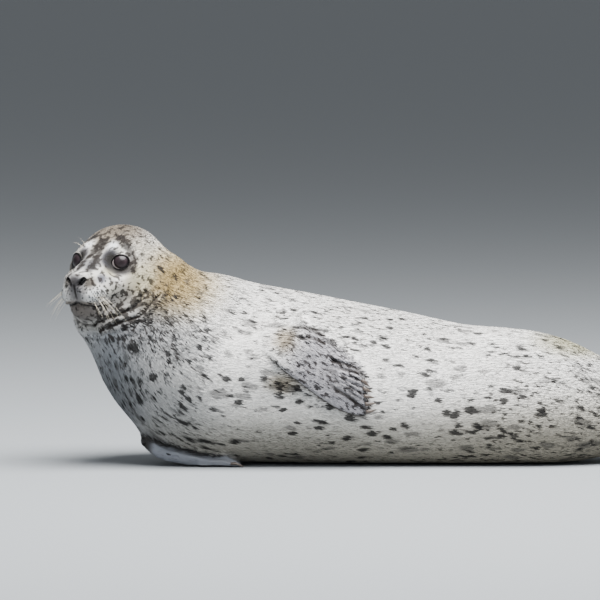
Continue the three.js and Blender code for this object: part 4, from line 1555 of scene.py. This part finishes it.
# %% [markdown]
# ## The coat
#
# A harbour seal's hair is stiff, 6 mm to 12 mm long and pressed flat, so its edge looks finely
# combed and not fluffy. Loose hairs can't be exported, and bump alone leaves a bald outline. So
# the grain is bump on the skin, and over it lie thin solid tufts, like slates on a roof, each
# with one colour taken from the skin's own pattern where it grows.

# %% Where tufts grow
RANDOM = np.random.default_rng(11)
TRIALS = 1_400_000  # enough that nearly every cell gets a tuft
# One tuft to a cell: the cell, the length, the width and the lift of the tip, all in metres.
GROWTH = {
    "face": (0.0024, 0.0052, 0.0009, 0.0003),
    "head": (0.0029, 0.0080, 0.0013, 0.0005),
    "neck": (0.0034, 0.0120, 0.0016, 0.0006),
    "trunk": (0.0038, 0.0135, 0.0020, 0.0005),
    "limb": (0.0030, 0.0080, 0.0012, 0.0006),
}
MOST_TUFTS = 32000  # in one piece, at six triangles each


def scatter(mesh, count):
    """Even random places on a mesh, with the surface's normal at each."""
    mesh.calc_loop_triangles()
    corners = np.empty(len(mesh.loop_triangles) * 3, np.int32)
    mesh.loop_triangles.foreach_get("vertices", corners)
    corners = corners.reshape(-1, 3)
    points, facing = coordinates(mesh), normals(mesh)
    first, second, third = (points[corners[:, k]] for k in range(3))
    area = np.linalg.norm(np.cross(second - first, third - first), axis=1)
    chosen = RANDOM.choice(len(area), count, p=area / area.sum())
    a, b = RANDOM.random(count), RANDOM.random(count)
    a, b = np.where(a + b > 1, 1 - a, a), np.where(a + b > 1, 1 - b, b)
    weights = np.stack([1 - a - b, a, b], axis=1)
    places = sum(weights[:, k, None] * points[corners[chosen, k]] for k in range(3))
    face_up = sum(weights[:, k, None] * facing[corners[chosen, k]] for k in range(3))
    return places, face_up / np.linalg.norm(face_up, axis=1)[:, None]


def one_to_a_cell(places, cell):
    """The number of the first place in each cell of a grid."""
    _, first = np.unique(np.floor(places / cell).astype(np.int64), axis=0, return_index=True)
    return first


# %% Which tufts grow where
def kinds(places, labels):
    """Which entry of GROWTH each place belongs to."""
    kind = np.full(len(places), "trunk", dtype="<U6")
    kind[among(labels, ["neck"])] = "neck"
    kind[among(labels, ["head", "muzzle", "lower_jaw"] + EYES)] = "head"
    kind[on_face(places)] = "face"
    kind[among(labels, FLIPPERS)] = "limb"
    return kind


SKIN_GRID = 0.003  # places in one cell of this grid share their nearest point of skin


def nearest_of_skin(places):
    """The number of the skin's point nearest to each place, to within the grid."""
    finder = finder_of(points)
    steps = np.round(places / SKIN_GRID).astype(np.int64)
    grid, inverse = np.unique(steps, axis=0, return_inverse=True)
    found = np.array([finder.find(cell * SKIN_GRID)[1] for cell in grid])
    return found[inverse.ravel()]


def roots():
    """Where the tufts may grow: one to a cell, with what the skin is like there."""
    places, facing = scatter(skin.data, TRIALS)
    nearest = nearest_of_skin(places)
    labels = label[nearest]
    kind = kinds(places, labels)
    kept = []
    for name, (cell, _, _, _) in GROWTH.items():
        own = np.nonzero(kind == name)[0]
        kept.append(own[one_to_a_cell(places[own], cell)])
    kept = np.concatenate(kept)
    return places[kept], facing[kept], labels[kept], kind[kept], nearest[kept]


root, facing, root_label, root_kind, nearest = roots()
colours, marks, finish = tints(root, limb_soft[nearest])
place, flow, along, turn = lie_of(root, root_label)
local = to_head(root)

# %% Where none grow
BARE_FROM = 0.3  # skin barer than this has no tufts
LID_CLEAR = 1.28  # times the size of the eye's opening
ROOM_BELOW = 0.003
SMOOTH_SHARE = 0.85  # of the far flipper's tufts are left out, as it is wet and smooth
DOTTED_FROM = 0.35
DOTTED_SHARE = 0.12  # of the pads' tufts stay, so that the dots show between them

eye_clear = np.ones(len(root), bool)
for side in SIDES:
    reach, _, _, front = lid_reach(local, side)
    eye_clear &= ~(front & (reach < LID_CLEAR))
grown = (marks[:, 2] < BARE_FROM) & eye_clear & (root[:, 2] > ROOM_BELOW)
far_flipper = among(root_label, ["fore_flipper_right"])
grown &= ~(far_flipper & (RANDOM.random(len(root)) < SMOOTH_SHARE))
grown &= (finish[:, 1] < DOTTED_FROM) | (RANDOM.random(len(root)) < DOTTED_SHARE)
root, facing, root_label, root_kind = (each[grown] for each in (root, facing, root_label, root_kind))
colours, marks, finish, local = (each[grown] for each in (colours, marks, finish, local))
place, flow, along, turn = (each[grown] for each in (place, flow, along, turn))
print("tufts", len(root))

# %% Which way they lie
NOSE = np.array([92.0, 0.0, -22.0])  # the hair of the face spreads from here
FACE_REACH = 150.0
SWING = 0.09  # radians that tufts differ by

from_nose = (local - NOSE) @ HEAD_AXES
from_nose /= np.linalg.norm(from_nose, axis=1)[:, None]
on_front = np.linalg.norm(local, axis=1) < FACE_REACH
face_share = (ramp(local[:, 0], -60.0, 10.0) * on_front)[:, None]
way = (1 - face_share) * flow + face_share * from_nose
way -= (way * facing).sum(axis=1)[:, None] * facing
way /= np.linalg.norm(way, axis=1)[:, None] + 1e-9
aside = np.cross(facing, way)
swing = RANDOM.normal(0.0, SWING, len(root))[:, None]
way = way * np.cos(swing) + aside * np.sin(swing)
aside = np.cross(facing, way)
print("hair swings by up to", round(float(np.degrees(np.abs(swing).max()))), "degrees")


# %% A tuft
TUFT_DEEP = 0.0005  # how far the root point is under the skin
TUFT_MIDDLE = 0.38  # how far along its widest place is
TUFT_THICK = 0.12  # of its width
LOWEST_TUFT = 0.0004
TUFT_FACES = np.array([[0, 3, 1], [0, 2, 3], [0, 1, 2], [4, 1, 3], [4, 3, 2], [4, 2, 1]])
TUFT_POINTS = 5


def tufts(chosen):
    """Six triangles for each chosen root: a point in the skin, a three-sided middle and a tip."""
    count = len(chosen)
    sizes = np.array([GROWTH[kind] for kind in root_kind[chosen]])
    vary = RANDOM.uniform(0.7, 1.3, (count, 2))
    long, wide = sizes[:, 1:2] * vary[:, :1], sizes[:, 2:3] * vary[:, 1:]
    lift = sizes[:, 3:4] * RANDOM.uniform(0.2, 1.8, (count, 1))
    start, up, forth, side = root[chosen], facing[chosen], way[chosen], aside[chosen]
    middle = start + TUFT_MIDDLE * long * forth + 0.25 * lift * up
    corners = [
        start - TUFT_DEEP * up,
        middle + 0.5 * wide * side,
        middle - 0.5 * wide * side,
        middle + (TUFT_THICK * wide + 0.0001) * up,
        start + long * forth + lift * up,
    ]
    shape = np.stack(corners, axis=1).reshape(-1, 3)
    shape[:, 2] = np.maximum(shape[:, 2], LOWEST_TUFT)
    faces = np.arange(count)[:, None, None] * TUFT_POINTS + TUFT_FACES
    return shape, faces.reshape(-1, 3), long


# %% Each tuft's patch of the baked picture
PATCH = 0.003  # a patch's size, where the whole picture is 1
PATCH_SHAPE = np.array([[0.5, 0.0], [0.0, 0.42], [1.0, 0.42], [0.5, 0.6], [0.5, 1.0]])
GIRTH_RADIUS = 0.14  # the body's usual radius
SOLE_ASIDE = 0.3  # metres that the flippers' undersides are laid to the side


def unrolled(chosen):
    """Each root's place on the skin unrolled round the spine, in a square of 1."""
    flat = np.stack([along[chosen], turn[chosen] * GIRTH_RADIUS], axis=1)
    for name, (_, ahead) in LIMBS.items():
        on = among(root_label[chosen], [name])
        under = facing[chosen][on] @ np.cross(ahead, [0.0, 1.0, 0.0]) < 0
        flat[on] = place[chosen][on][:, :2] * (DRAWN_OUT, 1.0) + np.outer(under, (0.0, SOLE_ASIDE))
    flat -= flat.min(axis=0)
    return flat / (flat.max() + 1e-9) * 0.98 + 0.005


# %% The pieces of coat
MARK_READ = 0.4  # how far along a tuft its marks are read


def triangle_mesh(name, shape, faces):
    """A mesh of many triangles, filled in one go."""
    mesh = bpy.data.meshes.new(name)
    mesh.vertices.add(len(shape))
    mesh.vertices.foreach_set("co", shape.ravel())
    mesh.loops.add(faces.size)
    mesh.loops.foreach_set("vertex_index", faces.ravel().astype(np.int32))
    mesh.polygons.add(len(faces))
    mesh.polygons.foreach_set("loop_start", np.arange(len(faces), dtype=np.int32) * 3)
    mesh.update(calc_edges=True)
    return mesh


def coat_piece(name, chosen):
    """The chosen tufts in one piece, with the marks that the paint reads and their patches."""
    shape, faces, long = tufts(chosen)
    mesh = triangle_mesh(name, shape, faces)
    centre = place[chosen] + np.outer(MARK_READ * long[:, 0] / DRAWN_OUT, (1.0, 0.0, 0.0))
    spot = root[chosen] + MARK_READ * long * way[chosen]
    read = {
        "lie": centre,
        "rooted": flecks_at(on_head(root[chosen]), spot, centre),
        "tint": np.column_stack([colours[chosen], blotches(centre)]),
        "marks": marks[chosen],
        "finish": finish[chosen],
        "shade": RANDOM.uniform(0.25, 0.75, len(chosen)),
    }
    for key, values in read.items():
        note(mesh, key, np.repeat(values, TUFT_POINTS, axis=0))
    patches = np.tile(PATCH_SHAPE * PATCH, (len(chosen), 1))
    flat = np.repeat(unrolled(chosen), TUFT_POINTS, axis=0) + patches
    baked = mesh.uv_layers.new(name="OFBake").data
    baked.foreach_set("uv", flat[faces.ravel()].astype(np.float32).ravel())
    made = object_of(name, mesh)
    made.data.materials.append(hair_paint)
    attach(made, "root")
    return made


# Stiff dry hair: nearly matt, and each tuft is a little lighter or darker than the next.
hair_paint = coat_paint("short stiff seal hair", False)
COAT_PARTS = {
    "head": ["head", "muzzle", "lower_jaw"] + EYES,
    "neck": ["neck"],
    "chest": ["chest"],
    "belly": ["belly"],
    "rump": ["rump", "tail"],
    "fore_flippers": FLIPPERS[:2],
    "hind_flippers": FLIPPERS[2:],
}
coats = []
for name, nodes in COAT_PARTS.items():
    own = np.nonzero(among(root_label, nodes))[0]
    own = own[np.argsort(turn[own])]
    shares = max(1, math.ceil(len(own) / MOST_TUFTS))
    for number, chosen in enumerate(np.array_split(own, shares), 1):
        title = f"coat_{name}_{number}" if shares > 1 else f"coat_{name}"
        coats.append(coat_piece(title, chosen))
print("coat pieces", {c.name: len(c.data.polygons) for c in coats})

# %% [markdown]
# ## Whiskers
#
# The whiskers are stiff, cream-white bristles in rows on the pads beside the nose, with a few
# over each eye. Hair curves would be quick but aren't kept by the export, so one bristle is
# modelled as a long tapering cone, and each copy is bent to droop from its own follicle.

# %% Follicles in rows
PAD_MIDDLE = (46.0, 20.0, -43.0)
PAD_RADIUS = 36.0  # mm
# Each row's height round the pad in degrees, and its number of follicles.
PAD_ROWS = ((14.0, 4), (6.0, 6), (-2.0, 7), (-10.0, 7), (-18.0, 7), (-26.0, 6), (-33.0, 4))
LONGEST_ROW = 7
PAD_FROM, PAD_TO = 24.0, 92.0  # degrees round from the nose
BROW_PLACES = ((-8.0, 36.0, 30.0), (-14.0, 42.0, 30.0), (-20.0, 38.0, 34.0))

face_of_skin = BVHTree.FromObject(skin, bpy.context.evaluated_depsgraph_get())


def on_surface(place):
    """The skin's nearest place to one in the head's frame, and its normal, in the same frame."""
    spot, normal, _, _ = face_of_skin.find_nearest(Vector(from_head(place)))
    return to_head(np.array(spot)[None])[0], np.array(normal) @ HEAD_AXES.T


def follicle_places():
    """Each follicle's side, row, share of the way back, place and normal."""
    found = []
    for side in SIDES:
        middle = np.array(mirrored([PAD_MIDDLE], side)[0])
        for row, (rise, number) in enumerate(PAD_ROWS):
            height = math.radians(rise)
            for column in range(number):
                share = (column + 0.5 * (row % 2)) / LONGEST_ROW
                back = math.radians(PAD_FROM + share * (PAD_TO - PAD_FROM))
                level = np.array([math.cos(back), side * math.sin(back), 0.0]) * math.cos(height)
                aim = level + np.array([0.0, 0.0, math.sin(height)])
                found.append((side, row, share, *on_surface(middle + PAD_RADIUS * aim)))
    return found


follicles = follicle_places()


# %% One shape copied many times
def joined(name, shapes, faces, paint):
    """One object from many copies of a shape that share the same faces."""
    count = len(shapes[0])
    starts = range(0, count * len(shapes), count)
    everything = [[start + corner for corner in face] for start in starts for face in faces]
    mesh = bpy.data.meshes.new(name)
    mesh.from_pydata(np.vstack(shapes).tolist(), [], everything)
    made = object_of(name, mesh)
    made.data.materials.append(paint)
    for polygon in made.data.polygons:
        polygon.use_smooth = True
    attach(made, "root")
    return made


def modelled(make):
    """The corners and faces of a shape that make() adds, taken off the object it made."""
    deselect()
    make()
    made = bpy.context.active_object
    corners = coordinates(made.data)
    faces = [list(p.vertices) for p in made.data.polygons]
    bpy.data.objects.remove(made, do_unlink=True)
    return corners, faces


def cut_cone(sides, point, cuts):
    """A cone one unit long up Z, ending in a small disc, and cut across so that it can bend."""
    bpy.ops.mesh.primitive_cone_add(
        vertices=sides, radius1=1.0, radius2=point, depth=1.0, location=(0, 0, 0.5)
    )
    bpy.ops.object.transform_apply(location=True, rotation=True, scale=True)
    bpy.ops.object.mode_set(mode="EDIT")
    for cut in range(1, cuts):
        bpy.ops.mesh.select_all(action="SELECT")
        bpy.ops.mesh.bisect(plane_co=(0, 0, cut / cuts), plane_no=(0, 0, 1))
    bpy.ops.object.mode_set(mode="OBJECT")


def turned_to(corners, way):
    """Corners turned so that their +Z points along way."""
    turn = Vector((0, 0, 1)).rotation_difference(Vector(way)).to_matrix()
    return corners @ np.array(turn).T


# %% Follicles
FOLLICLE_RADIUS = 1.35  # mm


def dome():
    """A low round dome with a radius of 1."""
    bpy.ops.mesh.primitive_uv_sphere_add(segments=10, ring_count=6, radius=1.0)
    bpy.ops.transform.resize(value=(1.0, 1.0, 0.5))
    bpy.ops.object.transform_apply(location=True, rotation=True, scale=True)


# Bare dark skin, matt, so that each follicle is a dot and not a bead.
follicle_paint, tree, shader = material("dark skin of a whisker follicle")
link(tree, "#1f1b1a", shader.inputs["Base Color"])
shader.inputs["Roughness"].default_value = 0.6
dome_corners, dome_faces = modelled(dome)
domes = []
for _, _, _, spot, normal in follicles:
    domes.append(from_head(spot + turned_to(dome_corners * FOLLICLE_RADIUS, normal)))
joined("follicles", domes, dome_faces, follicle_paint)
print("follicles", len(domes))

# %% Bristles
WHISKER_RADIUS = 0.23  # mm at the root
WHISKER_LONG = (24.0, 58.0)  # mm, at the front of a row and at its back
WHISKER_DROOP, BROW_DROOP = 0.30, 0.35  # how far the tip falls, as shares of the length
BROW_THICK = 0.7  # against the pads' whiskers
WHISKER_SUNK = 0.4  # mm that the root is under the skin
# The share of the follicles in the top row with a bristle, how much it grows from row to row, and
# the first row that has any.
GROWN_SHARE, GROWN_MORE, FIRST_ROW = 0.26, 0.06, 1
BRISTLE_RANDOM = np.random.default_rng(7)
bristle_corners, bristle_faces = modelled(lambda: cut_cone(6, 0.25, 8))


def bristle(spot, way, long, droop, thick):
    """A bristle from spot along way that falls away by droop of its length."""
    way = way / np.linalg.norm(way)
    level = np.cross(way, [0.0, 0.0, 1.0])
    level /= np.linalg.norm(level)
    share = bristle_corners[:, 2:3]
    spine = spot + way * long * share - np.array([0.0, 0.0, 1.0]) * droop * long * share**2
    cross = bristle_corners[:, 0:1] * level + bristle_corners[:, 1:2] * np.cross(level, way)
    return spine + cross * thick


def whiskers():
    """Bristles from some of the follicles, more of them low on the pad, and three on each brow."""
    made = []
    for side, row, share, spot, normal in follicles:
        if BRISTLE_RANDOM.random() > GROWN_SHARE + GROWN_MORE * row or row < FIRST_ROW:
            continue
        long = np.interp(share, (0.0, 1.0), WHISKER_LONG) * BRISTLE_RANDOM.uniform(0.8, 1.1)
        # The front ones point ahead, the back ones aside and back, and each row lower.
        way = np.array([0.30 - 0.75 * share, side * (0.45 + 0.35 * share), -0.15 - 0.11 * row])
        way += 0.45 * normal + BRISTLE_RANDOM.normal(0.0, 0.07, 3)
        start = spot - WHISKER_SUNK * normal
        made.append(bristle(start, way, long, WHISKER_DROOP, WHISKER_RADIUS))
    for side in SIDES:
        for place in mirrored(BROW_PLACES, side):
            spot, normal = on_surface(np.array(place))
            way = np.array([0.1, side * 0.5, 0.75]) + 0.3 * normal
            way += BRISTLE_RANDOM.normal(0.0, 0.1, 3)
            start = spot - WHISKER_SUNK * normal
            made.append(bristle(start, way, WHISKER_LONG[0], BROW_DROOP, BROW_THICK * WHISKER_RADIUS))
    return [from_head(shape) for shape in made]


# Stiff, smooth keratin: a thin bright line of shine runs along each bristle.
bristle_paint, tree, shader = material("cream keratin whisker")
link(tree, "#efe5cf", shader.inputs["Base Color"])
shader.inputs["Roughness"].default_value = 0.35
shader.inputs["IOR"].default_value = 1.55
bristles = whiskers()
joined("whiskers", bristles, bristle_faces, bristle_paint)
print("whiskers", len(bristles))

# %% [markdown]
# ## Claws
#
# Each digit ends in a narrow, curved claw of dark keratin. A plain cone would look like a
# thorn, and a claw cut as a flat sheet has no ridge. So one claw is made from a cone: cut
# across, swelled, flattened and bent down along its length. Twenty copies take their place,
# direction and length from the twenty plain claws of the frame.

# %% One claw, bent and flattened
CLAW_LONGER = 1.4  # the horn beyond the plain claw's point
CLAW_WIDE, CLAW_DEEP = 3.6, 2.6  # half the width and half the depth at the root, in mm
CLAW_SUNK = 2.0  # mm of the root inside the digit
CLAW_BOW = 0.3  # how high the back arches, as a share of the length
CLAW_DROOP = 0.16  # how far the point falls, as a share of the length
CLAW_SWELL = 1.35  # the fullest place, against the root
LOWEST_CLAW = 0.0008
# The near fore flipper's claws lie on the flank: raised in mm, and shorter and straighter.
FLANK_LIFT, FLANK_LONG, FLANK_DROOP = 2.2, 0.8, 0.4

horn_corners, horn_faces = modelled(lambda: cut_cone(12, 0.10, 10))


def claw_on(solid):
    """The corners of a claw laid along a plain one, its root sunk a little in the digit."""
    root, way, long = claw_axis(solid)
    on_flank = "fore_claw_left" in solid.name
    long *= CLAW_LONGER * (FLANK_LONG if on_flank else 1.0)
    up = np.array([0.0, -1.0, 0.0]) if on_flank else np.array([0.0, 0.0, 1.0])
    up = up - (up @ way) * way
    up /= np.linalg.norm(up)
    root = root + FLANK_LIFT * up * on_flank
    droop = CLAW_DROOP * (FLANK_DROOP if on_flank else 1.0)
    share = horn_corners[:, 2:3]
    swell = np.sqrt(np.clip(1.0 - share**2, 0.0, 1.0)) / np.maximum(1.0 - 0.9 * share, 0.1)
    arch = CLAW_BOW * share * (1.0 - share) - droop * share**2
    spine = root + way * (long * share - CLAW_SUNK) + up * long * arch
    aside = np.cross(up, way)
    girth = horn_corners[:, 0:1] * CLAW_WIDE * aside + horn_corners[:, 1:2] * CLAW_DEEP * up
    return (spine + girth * np.minimum(swell, CLAW_SWELL)) / 1000.0


# %% Horn on the claws
HORN_SCALE = 260.0  # worn streaks about every 4 mm


def horn_paint():
    """Dark brown keratin worn pale along its grain, with a low soft shine like old horn."""
    made, tree, shader = material("worn keratin claw")
    place = node(tree, "TexCoord", {}, out="Object")
    grain = node(tree, "TexNoise", {"Vector": place, "Scale": HORN_SCALE, "Detail": 2.0}, out="Fac")
    colour = node(tree, "Mix", {0: grain, 6: "#241f1c", 7: "#6b5e55"}, out=2, data_type="RGBA")
    link(tree, colour, shader.inputs["Base Color"])
    shader.inputs["Roughness"].default_value = 0.38
    shader.inputs["IOR"].default_value = 1.55
    return made


horn = horn_paint()
claws = [name for name in frame["nodes"] if "claw" in name]
for name in claws:
    shape = claw_on(frame["nodes"][name])
    shape[:, 2] = np.maximum(shape[:, 2], LOWEST_CLAW)
    claw = joined("horn_" + name, [shape], horn_faces, horn)
    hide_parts(name)
print("claws", len(claws))
